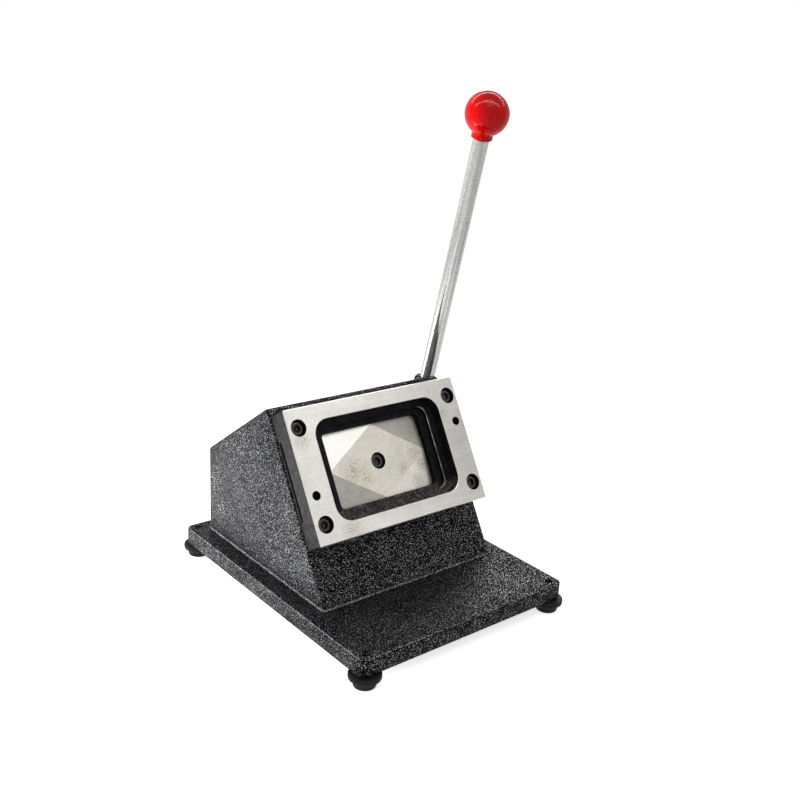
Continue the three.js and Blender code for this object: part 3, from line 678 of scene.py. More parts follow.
@dataclass(frozen=True)
class MouldedRubber(Finish):
    """Matt black rubber with a fine grain and pale dust.

    Attributes:
        color: The rubber's colour.
        dust: The colour of its dust.
    """

    color: Color = (0.003, 0.003, 0.0034)
    dust: Color = (0.014, 0.0136, 0.013)

    def shade(self, canvas: Canvas) -> None:
        """Draws the grain and the dust."""
        point = canvas.point()
        grain = canvas.noise(point, size=0.3, detail=3.0, roughness=0.7)
        clouds = canvas.noise(point, size=5.0, detail=4.0, roughness=0.6)
        dusty = canvas.ramp(clouds * 0.7 + grain * 0.4, (0.5, 0.0), (0.85, 0.6))
        canvas.surface({
            "Base Color": canvas.mixed(dusty, self.color, self.dust),
            "Roughness": 0.52 + dusty * 0.3,
            "IOR": 1.25,
            "Normal": canvas.bump(grain, 0.04),
        })


# Solids


def rounded(corners: Sequence[Point], radii: Sequence[float] | float, steps: int = 6) -> list[Point]:
    """Rounds the corners of a closed outline by arcs.

    Args:
        corners: The outline's corners in order.
        radii: One radius for all corners, or one for each. A corner of radius 0 stays a point.
        steps: How many pieces each arc has.

    Returns:
        The rounded outline's points.
    """
    count = len(corners)
    sizes = [radii] * count if isinstance(radii, (int, float)) else list(radii)
    outline: list[Point] = []
    for index, corner in enumerate(corners):
        here = Vector(corner)
        if sizes[index] <= 0:
            outline.append((here.x, here.y))
            continue
        before = (Vector(corners[index - 1]) - here).normalized()
        after = (Vector(corners[(index + 1) % count]) - here).normalized()
        half = before.angle(after) / 2
        reach = sizes[index] / math.tan(half)
        centre = here + (before + after).normalized() * sizes[index] / math.sin(half)
        start = here + before * reach - centre
        end = here + after * reach - centre
        for step in range(steps + 1):
            spoke = start.slerp(end, step / steps) * sizes[index]
            outline.append((centre.x + spoke.x, centre.y + spoke.y))
    return outline


def inset(corners: Sequence[Point], depths: Sequence[float]) -> list[Point]:
    """Moves each side of a closed outline inwards.

    Args:
        corners: The outline's corners, counter-clockwise.
        depths: How far the side from each corner to the next moves.

    Returns:
        The new corners.
    """
    count = len(corners)
    moved: list[Point] = []
    for index, corner in enumerate(corners):
        here = Vector(corner)
        side_in = (here - Vector(corners[index - 1])).normalized()
        side_out = (Vector(corners[(index + 1) % count]) - here).normalized()
        normal_in = Vector((-side_in.y, side_in.x))
        normal_out = Vector((-side_out.y, side_out.x))
        system = Matrix(((normal_in.x, normal_in.y), (normal_out.x, normal_out.y)))
        shift = system.inverted() @ Vector((depths[index - 1], depths[index]))
        moved.append((here.x + shift.x, here.y + shift.y))
    return moved


def raised(outline: Sequence[Point], height: float) -> list[Vector]:
    """An outline as a ring at a height."""
    return [Vector((x, y, height)) for x, y in outline]


def sideways(outline: Sequence[Point], x: float) -> list[Vector]:
    """An outline of Y and Z as a ring at a place along X."""
    return [Vector((x, y, z)) for y, z in outline]


def soft_ends(low: float, high: float, edge: float) -> list[Point]:
    """The steps over a slab's rounded edges, from its lower face to its upper face.

    Args:
        low: The lower face.
        high: The upper face.
        edge: The edges' radius.

    Returns:
        Pairs of a level and how far the outline is set in there.
    """
    turns = [math.radians(turn) for turn in (0, 30, 60, 90)]
    steps = [(edge * (1 - math.cos(turn)), edge * (1 - math.sin(turn))) for turn in turns]
    below = [(low + rise, inward) for rise, inward in steps]
    return below + [(high - rise, inward) for rise, inward in reversed(steps)]


@dataclass(frozen=True)
class Rectangle:
    """A rectangle round the origin with round corners.

    Attributes:
        width: Its size along X.
        height: Its size along Y.
        radius: Its corners' radius.
    """

    width: float
    height: float
    radius: float

    def outline(self, inward: float = 0.0) -> list[Point]:
        """Its outline.

        Args:
            inward: How far it is set in.

        Returns:
            The points, counter-clockwise.
        """
        steps = 8
        right, top = (self.width - 2 * inward) / 2, (self.height - 2 * inward) / 2
        corners = [(right, -top), (right, top), (-right, top), (-right, -top)]
        return rounded(corners, self.radius - inward, steps)

    def ring(self, level: float, inward: float = 0.0) -> list[Vector]:
        """Its outline as a ring.

        Args:
            level: The ring's height.
            inward: How far it is set in.

        Returns:
            The ring.
        """
        return raised(self.outline(inward), level)


class Solid:
    """A closed body in millimetres, in a local frame."""

    def __init__(self, mesh: bpy.types.Mesh) -> None:
        """Takes over a mesh.

        Args:
            mesh: The closed mesh.
        """
        self.mesh = mesh

    @classmethod
    def closed(cls, form: bmesh.types.BMesh) -> "Solid":
        """Closes a form's seams, turns its faces outwards and frees it.

        Args:
            form: The form.

        Returns:
            The solid.
        """
        bmesh.ops.remove_doubles(form, verts=form.verts, dist=SEAM)
        bmesh.ops.recalc_face_normals(form, faces=form.faces)
        mesh = bpy.data.meshes.new("solid")
        form.to_mesh(mesh)
        form.free()
        return cls(mesh)

    @classmethod
    def lofted(cls, rings: Sequence[Sequence[Vector]], looped: bool = False) -> "Solid":
        """Joins rings of equally many points.

        Args:
            rings: The rings in order.
            looped: Whether the last ring joins the first. Otherwise both get a flat end.

        Returns:
            The solid.
        """
        form = bmesh.new()
        rows = [[form.verts.new(point) for point in ring] for ring in rings]
        pairs = list(zip(rows, rows[1:]))
        if looped:
            pairs.append((rows[-1], rows[0]))
        else:
            form.faces.new(rows[0])
            form.faces.new(rows[-1])
        for low, high in pairs:
            for index in range(len(low)):
                after = (index + 1) % len(low)
                form.faces.new((low[index], low[after], high[after], high[index]))
        return cls.closed(form)

    @classmethod
    def turned(cls, profile: Sequence[Point], sides: int = 64, looped: bool = False) -> "Solid":
        """Turns a profile round the Z axis.

        Args:
            profile: Points of radius and height.
            sides: How many steps a turn has.
            looped: Whether the profile closes on itself. Otherwise it runs from the axis to the axis.

        Returns:
            The solid.
        """
        form = bmesh.new()
        turns = [2 * math.pi * index / sides for index in range(sides)]
        spokes = [(math.cos(turn), math.sin(turn)) for turn in turns]
        rows = []
        for radius, height in profile:
            here = [(0.0, 0.0)] if radius < 1e-6 else [(radius * x, radius * y) for x, y in spokes]
            rows.append([form.verts.new((x, y, height)) for x, y in here])
        pairs = list(zip(rows, rows[1:])) + ([(rows[-1], rows[0])] if looped else [])
        for low, high in pairs:
            for index in range(sides):
                after = (index + 1) % sides
                corners = [low[index % len(low)], low[after % len(low)],
                           high[after % len(high)], high[index % len(high)]]
                distinct = list(dict.fromkeys(corners))
                if len(distinct) > 2:
                    form.faces.new(distinct)
        return cls.closed(form)

    @classmethod
    def rod(cls, radius: float, low: float, high: float, edge: float = 0.0, sides: int = 64) -> "Solid":
        """A round bar along Z, with chamfered ends.

        Args:
            radius: Its radius.
            low: Its lower end.
            high: Its upper end.
            edge: The chamfers' size.
            sides: How many sides it has.

        Returns:
            The solid.
        """
        if edge <= 0:
            return cls.turned([(0, low), (radius, low), (radius, high), (0, high)], sides)
        return cls.turned([(0, low), (radius - edge, low), (radius, low + edge), (radius, high - edge),
                           (radius - edge, high), (0, high)], sides)

    @classmethod
    def tube(cls, inner: float, outer: float, low: float, high: float, edge: float = 0.3) -> "Solid":
        """A bush along Z, with chamfered edges.

        Args:
            inner: Its bore's radius.
            outer: Its outer radius.
            low: Its lower end.
            high: Its upper end.
            edge: The chamfers' size.

        Returns:
            The solid.
        """
        profile = [(inner, low + edge), (inner + edge, low), (outer - edge, low), (outer, low + edge),
                   (outer, high - edge), (outer - edge, high), (inner + edge, high), (inner, high - edge)]
        return cls.turned(profile, looped=True)

    @classmethod
    def block(cls, size: Sequence[float], centre: Sequence[float], edge: float = 0.0) -> "Solid":
        """A block with chamfered edges.

        Args:
            size: Its sizes along X, Y and Z.
            centre: Its centre.
            edge: The chamfers' size.

        Returns:
            The solid.
        """
        form = bmesh.new()
        bmesh.ops.create_cube(form, size=1.0)
        placed = Matrix.Translation(centre) @ Matrix.Diagonal((*size, 1.0))
        bmesh.ops.transform(form, matrix=placed, verts=form.verts)
        if edge > 0:
            bmesh.ops.bevel(form, geom=form.edges[:], offset=edge, segments=2, profile=0.5, affect="EDGES")
        return cls.closed(form)

    @classmethod
    def together(cls, parts: Sequence["Solid"]) -> "Solid":
        """Puts solids that stay clear of each other into one.

        Args:
            parts: The solids.

        Returns:
            Them all.
        """
        form = bmesh.new()
        for part in parts:
            form.from_mesh(part.mesh)
        mesh = bpy.data.meshes.new("solid")
        form.to_mesh(mesh)
        form.free()
        return cls(mesh)

    def moved(self, *matrices: Matrix) -> "Solid":
        """A copy for each place, all in one solid.

        Args:
            matrices: The places.

        Returns:
            The copies.
        """
        copies = []
        for matrix in matrices:
            mesh = self.mesh.copy()
            mesh.transform(matrix)
            if matrix.determinant() < 0:
                mesh.flip_normals()
            copies.append(Solid(mesh))
        return copies[0] if len(copies) == 1 else Solid.together(copies)

    def at(self, *points: Point) -> "Solid":
        """A copy at each point of the X-Y plane, all in one solid.

        Args:
            points: The points.

        Returns:
            The copies.
        """
        return self.moved(*(Matrix.Translation((x, y, 0.0)) for x, y in points))

    def through(self, *modifiers: tuple[str, Mapping[str, Any]]) -> "Solid":
        """Runs the solid through modifiers.

        Args:
            modifiers: Each one's type and settings. A node tree's inputs go by their identifiers.

        Returns:
            What comes out.
        """
        holder = linked("holder", self.mesh)
        for kind, settings in modifiers:
            modifier = holder.modifiers.new(kind, kind)
            for name, value in settings.items():
                if name.startswith("Socket_"):
                    modifier[name] = value
                else:
                    setattr(modifier, name, value)
        seen = holder.evaluated_get(bpy.context.evaluated_depsgraph_get())
        mesh = bpy.data.meshes.new_from_object(seen)
        bpy.data.objects.remove(holder)
        return Solid(mesh)

    def _combined(self, other: "Solid", operation: str) -> "Solid":
        """Joins or cuts this solid by another.

        Args:
            other: The other solid.
            operation: The Boolean modifier's operation.

        Returns:
            The result.
        """
        tool = linked("tool", other.mesh)
        result = self.through(("BOOLEAN", {"object": tool, "operation": operation, "solver": "EXACT"}))
        bpy.data.objects.remove(tool)
        return result

    def __sub__(self, other: "Solid") -> "Solid":
        """This solid with another cut out of it."""
        return self._combined(other, "DIFFERENCE")

    def __add__(self, other: "Solid") -> "Solid":
        """This solid fused with another."""
        return self._combined(other, "UNION")

    def bevelled(self, width: float) -> "Solid":
        """Rounds the sharp edges.

        Args:
            width: The bevels' width.

        Returns:
            The rounded solid.
        """
        strips, least_angle = 2, 35.0
        return self.through(("BEVEL", {
            "width": width, "segments": strips, "limit_method": "ANGLE",
            "angle_limit": math.radians(least_angle)}))

    def cast(self, voxel: float, passes: int) -> "Solid":
        """Melts the solid's edges and inner corners as in a casting.

        Args:
            voxel: The size of detail that is kept.
            passes: How often it is smoothed.

        Returns:
            The casting.
        """
        return self.through(("REMESH", {"mode": "VOXEL", "voxel_size": voxel}),
                            ("SMOOTH", {"iterations": passes, "factor": 0.5}))


# Geometry Nodes


class GeometryTree(ABC):
    """A Geometry Nodes tree with named inputs that makes a plain solid."""

    title = "tree"
    inputs: tuple[tuple[str, str], ...] = ()

    def __init__(self) -> None:
        """Builds the tree and its interface."""
        self.tree = bpy.data.node_groups.new(self.title, "GeometryNodeTree")
        self.canvas = Canvas(self.tree)
        self.sockets: dict[str, str] = {}
        for name, kind in (("Part", "NodeSocketGeometry"), *self.inputs, ("Finish", "NodeSocketMaterial")):
            item = self.tree.interface.new_socket(name, in_out="INPUT", socket_type=kind)
            self.sockets[name] = item.identifier
        self.tree.interface.new_socket("Result", in_out="OUTPUT", socket_type="NodeSocketGeometry")
        self.group = self.tree.nodes.new("NodeGroupInput")
        whole = self.canvas.node("GeometryNodeRealizeInstances", {}, {0: self.draw()})
        dressed = self.canvas.node("GeometryNodeSetMaterial", {}, {
            "Geometry": whole, "Material": self.given("Finish")})
        output = self.tree.nodes.new("NodeGroupOutput")
        self.tree.links.new(dressed.socket, output.inputs[0])

    def given(self, name: str) -> Socket:
        """The tree's input of a name."""
        return Socket(self.canvas, self.group.outputs[name])

    @abstractmethod
    def draw(self) -> Socket:
        """Draws the nodes between the inputs and the result.

        Returns:
            The geometry.
        """

    def run(self, start: Solid, finish: Finish, values: Mapping[str, float | int]) -> Solid:
        """Runs the tree on a solid.

        Args:
            start: What the tree gets as its part.
            finish: The finish of what it makes.
            values: Its other inputs by name.

        Returns:
            The plain result.
        """
        inputs = {self.sockets[name]: value for name, value in values.items()}
        inputs[self.sockets["Finish"]] = finish.material()
        return start.through(("NODES", {"node_group": self.tree, **inputs}))


class FastenerGrid(GeometryTree):
    """Sets copies of a screw, pin, bush or foot out on a grid round the origin, each turned at random."""

    title = "fastener_grid"
    inputs = (("Column spacing", "NodeSocketFloat"), ("Row spacing", "NodeSocketFloat"),
              ("Most turn", "NodeSocketFloat"), ("Seed", "NodeSocketInt"))

    def spread(self, part: Solid, finish: Finish, spacing: Point, most_turn: float, seed: int) -> Solid:
        """Sets copies of a part out on the grid.

        Args:
            part: The part.
            finish: Its finish.
            spacing: The distances between columns and between rows.
            most_turn: The most that a copy is turned.
            seed: The seed of the turns.

        Returns:
            The copies.
        """
        return self.run(part, finish, {
            "Column spacing": spacing[0], "Row spacing": spacing[1], "Most turn": most_turn, "Seed": seed})

    def draw(self) -> Socket:
        """Draws the grid, whose points merge where a spacing is 0, and the copies on it."""
        node = self.canvas.node
        grid = node("GeometryNodeMeshGrid", {}, {
            "Size X": self.given("Column spacing"), "Size Y": self.given("Row spacing"),
            "Vertices X": 2, "Vertices Y": 2})
        places = node("GeometryNodeMergeByDistance", {}, {"Geometry": grid, "Distance": 0.01})
        most = self.given("Most turn")
        turn = node("FunctionNodeRandomValue", {"data_type": "FLOAT"}, {
            "Min_001": 0.0, "Max_001": most, "Seed": self.given("Seed")}, "Value_001")
        rotation = node("ShaderNodeCombineXYZ", {}, {"Z": turn})
        return node("GeometryNodeInstanceOnPoints", {}, {
            "Points": places, "Instance": self.given("Part"), "Rotation": rotation})


class HelicalSpring(GeometryTree):
    """Winds a compression spring up the Z axis, with closer curls at both ends."""

    title = "helical_spring"
    inputs = tuple((name, "NodeSocketFloat") for name in (
        "Curls", "Closed curls", "Mean radius", "Wire radius", "Length", "Curl gap", "Steps per curl"))

    def draw(self) -> Socket:
        """Draws the wire's centre line from the count of curls done, and sweeps the wire along it."""
        node = self.canvas.node
        curls, closed, wire = self.given("Curls"), self.given("Closed curls"), self.given("Wire radius")
        steps, mean = self.given("Steps per curl"), self.given("Mean radius")
        line = node("GeometryNodeMeshLine", {}, {"Count": curls * steps + 1})
        done = node("GeometryNodeInputIndex") / steps
        pitch = wire * 2 + self.given("Curl gap")
        open_curls = curls - closed * 2
        open_length = self.given("Length") - wire * 2 - closed * pitch * 2
        open_done = (done - closed).at_least(0.0).at_most(open_curls)
        height = wire + (done - open_done) * pitch + open_done / open_curls * open_length
        angle = done * (2 * math.pi)
        place = node("ShaderNodeCombineXYZ", {}, {
            "X": mean * angle.cosine(), "Y": mean * angle.sine(), "Z": height})
        wound = node("GeometryNodeSetPosition", {}, {"Geometry": line, "Position": place})
        path = node("GeometryNodeMeshToCurve", {}, {"Mesh": wound})
        section = node("GeometryNodeCurvePrimitiveCircle", {}, {"Resolution": 12, "Radius": wire})
        return node("GeometryNodeCurveToMesh", {}, {
            "Curve": path, "Profile Curve": section, "Fill Caps": True})


@dataclass(frozen=True)
class Trees:
    """The Geometry Nodes trees that the sub-assemblies share."""

    grid: FastenerGrid
    spring: HelicalSpring


# Pieces


@dataclass
class Piece:
    """A finished piece of the cutter.

    Attributes:
        name: The object's name.
        solid: Its shape in its local frame, in millimetres.
        place: That frame in the part's frame, in millimetres.
        finish: Its finish.
        body: The body it rides on.
        stands_for: The nodes it is shown for.
        zones: Further finishes.
        zoning: Gives the number of a face's finish from its centre and normal in the local frame.
        sharp: The angle from which an edge stays sharp, in degrees.
    """

    name: str
    solid: Solid
    place: Matrix
    finish: Finish
    body: Body
    stands_for: Sequence[str]
    zones: Sequence[Finish] = ()
    zoning: Zoning | None = None
    sharp: float = 32.0

    def show(self) -> bpy.types.Object:
        """Puts the piece into the scene, in metres, with its place in its mesh.

        Returns:
            The object.
        """
        mesh = self.solid.mesh.copy()
        mesh.name = self.name
        mesh.materials.clear()
        for finish in (self.finish, *self.zones):
            mesh.materials.append(finish.material())
        for face in mesh.polygons:
            face.use_smooth = True
            face.material_index = self.zoning(face.center, face.normal) if self.zoning else 0
        mesh.set_sharp_from_angle(angle=math.radians(self.sharp))
        mesh.transform(Matrix.Scale(MM, 4) @ self.place)
        shown = linked(self.name, mesh)
        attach(shown, self.body.value)
        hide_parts(*self.stands_for)
        log.info("%s: %d faces, on %s", self.name, len(mesh.polygons), self.body.value)
        return shown


def alike(place: Matrix, body: Body, *rows: tuple[Any, ...]) -> list[Piece]:
    """Pieces that share a place and a body.

    Args:
        place: Their local frame in the part's frame.
        body: The body they ride on.
        rows: Each one's name, solid and finish, and the nodes it is shown for.

    Returns:
        The pieces.
    """
    return [Piece(name, solid, place, finish, body, nodes) for name, solid, finish, *nodes in rows]


# The cutter's finishes

PAINT = TexturedPaint("textured_black_paint", "hammertone")
# Lighter paint that carries a painted highlight along the base plate's upper edge and the housing's bead.
PAINT_PAINTED_HIGHLIGHT = TexturedPaint(
    "paint_with_painted_highlight", "hammertone", dimple=(0.006, 0.006, 0.0065), crest=(0.2, 0.2, 0.205))
# The die plate's face carries a painted shade that darkens it towards the right.
DIE_STEEL = GroundSteel(
    "ground_die_steel", color=(0.65, 0.63, 0.59), clouding=0.5,
    smudges=((-67.0, 24.0, 8.0), (-47.0, -41.5, 10.0), (58.0, 22.0, 7.0)), smudge_level=17.1,
    film=(88.0, 0.0, 120.0, 0.38))
DIAMOND_STEEL = GroundSteel(
    "ground_punch_diamond", color=(0.57, 0.545, 0.485), turn=24.0, gloss=0.34, clouding=0.5, pitting=0.35,
    smudges=((-23.0, -4.0, 12.0), (-14.0, -9.5, 9.0), (19.0, -10.0, 7.0), (33.0, -1.0, 7.0)),
    smudge_level=1.8)
# The punch's corner facets are lit and shaded copies of one ground steel. Their colours carry a painted
# highlight, painted light and painted shade, while the stains and pits are real.
FACET_PAINTED_HIGHLIGHT = GroundSteel(
    "ground_punch_facet_bright", color=(0.83, 0.81, 0.77), turn=-40.0, gloss=0.24, clouding=0.16)
FACET_PAINTED_LIGHT = GroundSteel(
    "ground_punch_facet_warm", color=(0.67, 0.64, 0.59), turn=-40.0, pitting=0.3,
    smudges=((38.0, -10.0, 8.0), (30.0, -22.0, 8.0)), smudge_level=1.0)
FACET_PAINTED_SHADE = GroundSteel(
    "ground_punch_facet_grey", color=(0.33, 0.32, 0.285), turn=-8.0, gloss=0.36, clouding=0.8)
GROUND_EDGE = GroundSteel("ground_steel_plain", color=(0.5, 0.49, 0.47))
DULL_STEEL = DarkSteel(
    "dulled_ground_steel", "ground_steel", color=(0.004, 0.004, 0.004), rubbed=(0.018, 0.0175, 0.017),
    gloss=0.42, cover=1.15)
DULL_BAR = DarkSteel(
    "dulled_machined_steel", "machined_steel", color=(0.012, 0.012, 0.012), rubbed=(0.04, 0.04, 0.04),
    gloss=0.42, cover=1.2)
SCALE = DarkSteel(
    "hardened_steel_scale", "ground_steel", color=(0.003, 0.003, 0.0036), rubbed=(0.018, 0.018, 0.02),
    gloss=0.4, cover=1.15, cloud=7.0)
# Lighter scale that puts painted light on the window's lower parts.
SCALE_PAINTED_LIGHT = DarkSteel(
    "steel_scale_painted_light", "ground_steel", color=(0.01, 0.0095, 0.009), rubbed=(0.12, 0.113, 0.105),
    gloss=0.45, cover=1.2, cloud=2.2)
# A painted highlight for the edge of the window's step.
EDGE_PAINTED_HIGHLIGHT = DarkSteel(
    "steel_edge_painted_highlight", "ground_steel", color=(0.05, 0.05, 0.05), rubbed=(0.4, 0.39, 0.37),
    gloss=0.3, cloud=9.0)
OXIDE = DarkSteel(
    "black_oxide", "black_oxide", color=(0.003, 0.003, 0.0034), rubbed=(0.03, 0.03, 0.031),
    gloss=0.2, cover=1.6)
PLAIN_STEEL = TurnedMetal("machined_steel", "machined_steel")
PLATING = TurnedMetal(
    "bright_plating", "plated", color=(0.62, 0.63, 0.605), tarnish=(0.2, 0.202, 0.195),
    place=LAYOUT.lever.freeze(), gloss=0.06, line=(0.5, 0.5, 60.0), depth=0.008, cloud=(2.6, 2.6, 160.0),
    metallic=0.82)
SPRING_WIRE = TurnedMetal(
    "spring_wire", "spring_steel", color=(0.16, 0.16, 0.17), tarnish=(0.07, 0.065, 0.06), gloss=0.34)
BRONZE = TurnedMetal(
    "sintered_bronze", "bronze", color=(0.47, 0.3, 0.13), tarnish=(0.28, 0.17, 0.07), gloss=0.38)
BRASS = TurnedMetal("turned_brass", "brass", color=(0.66, 0.46, 0.19), tarnish=(0.42, 0.28, 0.11))
RED = MouldedPlastic("red_plastic", "red_plastic")
RUBBER = MouldedRubber("black_rubber", "black_rubber")

# Screws and holes. GAP stands between pieces that fit together.

GAP = 0.3
HOLE_SIDES = 48
CORNERS = tuple(f"{end}_{side.label}" for end in ("front", "rear") for side in Side)


@dataclass(frozen=True)
class SocketScrew:
    """A hex socket screw along Z. Its head's underside is at 0 and its tip below.

    Attributes:
        radius: The shank's radius.
        head_radius: The head's radius.
        head_height: The head's height.
        socket_radius: The hex socket's radius at its corners.
        socket_depth: The hex socket's depth.
        length: The shank's length.
        edge: The rounding of the head's top edge.
        rim: The rounding of the head's lower edge.
        chamfer: The tip's chamfer.
        sink_gap: The gap round the head in a counterbore.
    """

    radius: float
    head_radius: float
    head_height: float
    socket_radius: float
    socket_depth: float
    length: float
    edge: float = 0.6
    rim: float = 0.2
    chamfer: float = 0.5
    sink_gap: float = 0.8

    @property
    def bore(self) -> float:
        """The radius of a hole that clears the shank."""
        return self.radius + GAP

    @property
    def sink(self) -> float:
        """The radius of a counterbore that clears the head."""
        return self.head_radius + self.sink_gap

    def solid(self) -> Solid:
        """The screw with its rounded head, chamfered tip and hex socket."""
        shank, head, top, tip = self.radius, self.head_radius, self.head_height, -self.length
        profile = rounded([(0, tip), (shank - self.chamfer, tip), (shank, tip + self.chamfer), (shank, 0),
                           (head, 0), (head, top), (0, top)],
                          [0, 0, 0, 0, self.rim, self.edge, 0], steps=5)
        return Solid.turned(profile) - hex_socket(self.socket_radius, self.socket_depth, top)


def hex_socket(radius: float, depth: float, top: float) -> Solid:
    """The hollow of a hex socket that opens upwards, with a drilled point and a broached mouth.

    Args:
        radius: Its radius at the corners.
        depth: Its depth.
        top: The face it opens in.

    Returns:
        The hollow.
    """
    floor, point, mouth = top - depth, 0.45 * radius, 0.25
    turns = [math.radians(60 * side) for side in range(6)]
    hexagon = [(radius * math.cos(turn), radius * math.sin(turn)) for turn in turns]
    steps = ((0.15, floor - point), (0.8, floor), (1.0, floor), (1.0, top - mouth), (1.12, top + mouth))
    rings = [raised([(x * share, y * share) for x, y in hexagon], level) for share, level in steps]
    return Solid.lofted(rings)


def hole(radius: float, low: float, high: float) -> Solid:
    """The hollow of a plain round hole along Z.

    Args:
        radius: The hole's radius.
        low: Its lower end.
        high: Its upper end.

    Returns:
        The hollow.
    """
    return Solid.rod(radius, low, high, sides=HOLE_SIDES)


def drilled(radius: float, low: float, high: float, lip: float = 0.5, foot: float = 0.0) -> Solid:
    """The hollow of a drilled hole with a broken edge at its mouths.

    Args:
        radius: The hole's radius.
        low: Its floor, or its lower mouth.
        high: Its upper mouth.
        lip: The broken edge's size at the upper mouth.
        foot: The broken edge's size at the lower mouth, 0 for a floor.

    Returns:
        The hollow.
    """
    past = 1.0
    start = [(0, low), (radius, low)]
    if foot:
        start = [(0, low - past), (radius + foot + past, low - past), (radius, low + foot)]
    mouth = [(radius, high - lip), (radius + lip + past, high + past), (0, high + past)]
    return Solid.turned([*start, *mouth], HOLE_SIDES)


def set_screw() -> Solid:
    """A headless screw with a hex socket and a chamfered point, growing along Z."""
    radius, length, socket_radius, socket_depth = 2.5, 6.0, 1.5, 2.5
    body = Solid.rod(radius, 0.0, length, edge=0.4, sides=HOLE_SIDES)
    return body - hex_socket(socket_radius, socket_depth, length)


def mirrored(x: float, y: float = 0.0) -> list[Point]:
    """A point and its twin through the Z axis."""
    return [(x, y), (-x, -y)]


def lift(height: float) -> Matrix:
    """A move along Z."""
    return Matrix.Translation((0.0, 0.0, height))


# Sub-assemblies


@dataclass
class BaseAndFeet:
    """The painted base plate on four rubber feet, with the feet's screws and the housing's bolts."""

    trees: Trees
    width: float = 181.0
    depth: float = 226.9515
    thickness: float = 13.0
    foot_height: float = 9.5
    corner_radius: float = 5.0
    edge: float = 1.2
    foot_inset: Point = (7.5, 6.5)
    foot_screw: SocketScrew = SocketScrew(2.3, 4.0, 2.4, 1.7, 1.4, 15.3, 0.3)
    foot_screw_seat: float = 4.2
    bolt: SocketScrew = SocketScrew(3.0, 5.0, 6.0, 2.9, 3.0, 21.3, 0.5)
    bolt_x: float = 61.25
    bolt_front_y: float = -33.64
    bolt_rear_y: float = 85.98
    bolt_head_depth: float = 7.0

    @property
    def foot_spacing(self) -> Point:
        """The distances between the feet along X and Y."""
        return self.width - 2 * self.foot_inset[0], self.depth - 2 * self.foot_inset[1]

    @property
    def bolt_frame(self) -> Matrix:
        """The frame at the middle of the housing's bolts."""
        return LAYOUT.floor @ Matrix.Translation((0.0, (self.bolt_front_y + self.bolt_rear_y) / 2, 0.0))

    @classmethod
    def bolt_places(cls) -> list[Point]:
        """The housing bolts' places."""
        return [(sign * cls.bolt_x, y) for sign in (1, -1) for y in (cls.bolt_front_y, cls.bolt_rear_y)]

    def plate(self) -> Solid:
        """The base plate, with soft edges and drilled for the screws."""
        low, high = self.foot_height, self.foot_height + self.thickness
        outside = Rectangle(self.width, self.depth, self.corner_radius)
        body = Solid.lofted([outside.ring(*step) for step in soft_ends(low, high, self.edge)])
        x, y = (spacing / 2 for spacing in self.foot_spacing)
        foot_holes = drilled(self.foot_screw.bore, low, high, lip=0.4, foot=0.4)
        bores = drilled(self.bolt.bore, low + 1, high, lip=0.3).at(*self.bolt_places())
        sink = drilled(self.bolt.sink, -(low + self.bolt_head_depth), -low).moved(UPSIDE_DOWN)
        foot_holes = foot_holes.at((x, y), (-x, y), (x, -y), (-x, -y))
        return body - foot_holes - bores - sink.at(*self.bolt_places())

    def edge_zone(self, centre: Vector, normal: Vector) -> int:
        """The plate's upper edge carries a painted highlight.

        Args:
            centre: A face's centre.
            normal: Its normal.

        Returns:
            0 for the plate, 1 for the painted highlight on its upper edge.
        """
        outside = abs(centre.x) > self.width / 2 - self.edge or abs(centre.y) > self.depth / 2 - self.edge
        # Painted highlight: the upper edge's sloping faces get the lighter paint.
        return int(outside and 0.5 < normal.z < 0.9)

    def foot(self) -> Solid:
        """One foot, a turned rubber body with a wide flange and a pocket for its screw."""
        tip, waist, flange, bore = 7.5, 8.0, 11.0, self.foot_screw.bore
        waist_level, flange_level, top = 3.0, 6.0, self.foot_height
        pocket, pocket_depth = 4.6, 4.5
        wider, higher = flange - waist, flange_level - waist_level
        flare = [(waist + wider * share * share, waist_level + higher * share)
                 for share in (0.0, 0.2, 0.4, 0.6, 0.8)]
        profile = rounded([(pocket, 0), (tip, 0), *flare, (flange, flange_level), (flange, top), (bore, top),
                           (bore, pocket_depth), (pocket, pocket_depth)],
                          [0.4, 0.9, *(0 for _ in flare), 0.7, 0.9, 0, 0, 0.3], steps=4)
        return Solid.turned(profile, looped=True)

    def pieces(self) -> list[Piece]:
        """The base's pieces."""
        grid = self.trees.grid
        feet = grid.spread(self.foot(), RUBBER, self.foot_spacing, most_turn=0.0, seed=4)
        hanging = self.foot_screw.solid().moved(lift(self.foot_screw_seat) @ UPSIDE_DOWN)
        screws = grid.spread(hanging, PLAIN_STEEL, self.foot_spacing, most_turn=1.2, seed=4)
        seat = self.foot_height + self.bolt_head_depth - GAP
        bolt_spacing = (2 * self.bolt_x, self.bolt_rear_y - self.bolt_front_y)
        bolts = grid.spread(self.bolt.solid().moved(lift(seat) @ UPSIDE_DOWN), OXIDE, bolt_spacing,
                            most_turn=1.0, seed=9)
        return [
            Piece("painted_base_plate", self.plate(), LAYOUT.floor, PAINT, Body.FRAME, ["base_plate"],
                  [PAINT_PAINTED_HIGHLIGHT], self.edge_zone),
            *alike(LAYOUT.floor, Body.FRAME,
                   ("rubber_feet", feet, RUBBER, *(f"foot_{corner}" for corner in CORNERS)),
                   ("foot_screws", screws, PLAIN_STEEL, *(f"foot_screw_{corner}" for corner in CORNERS))),
            Piece("housing_bolts", bolts, self.bolt_frame, OXIDE, Body.FRAME,
                  [f"housing_bolt_{corner}" for corner in CORNERS]),
        ]


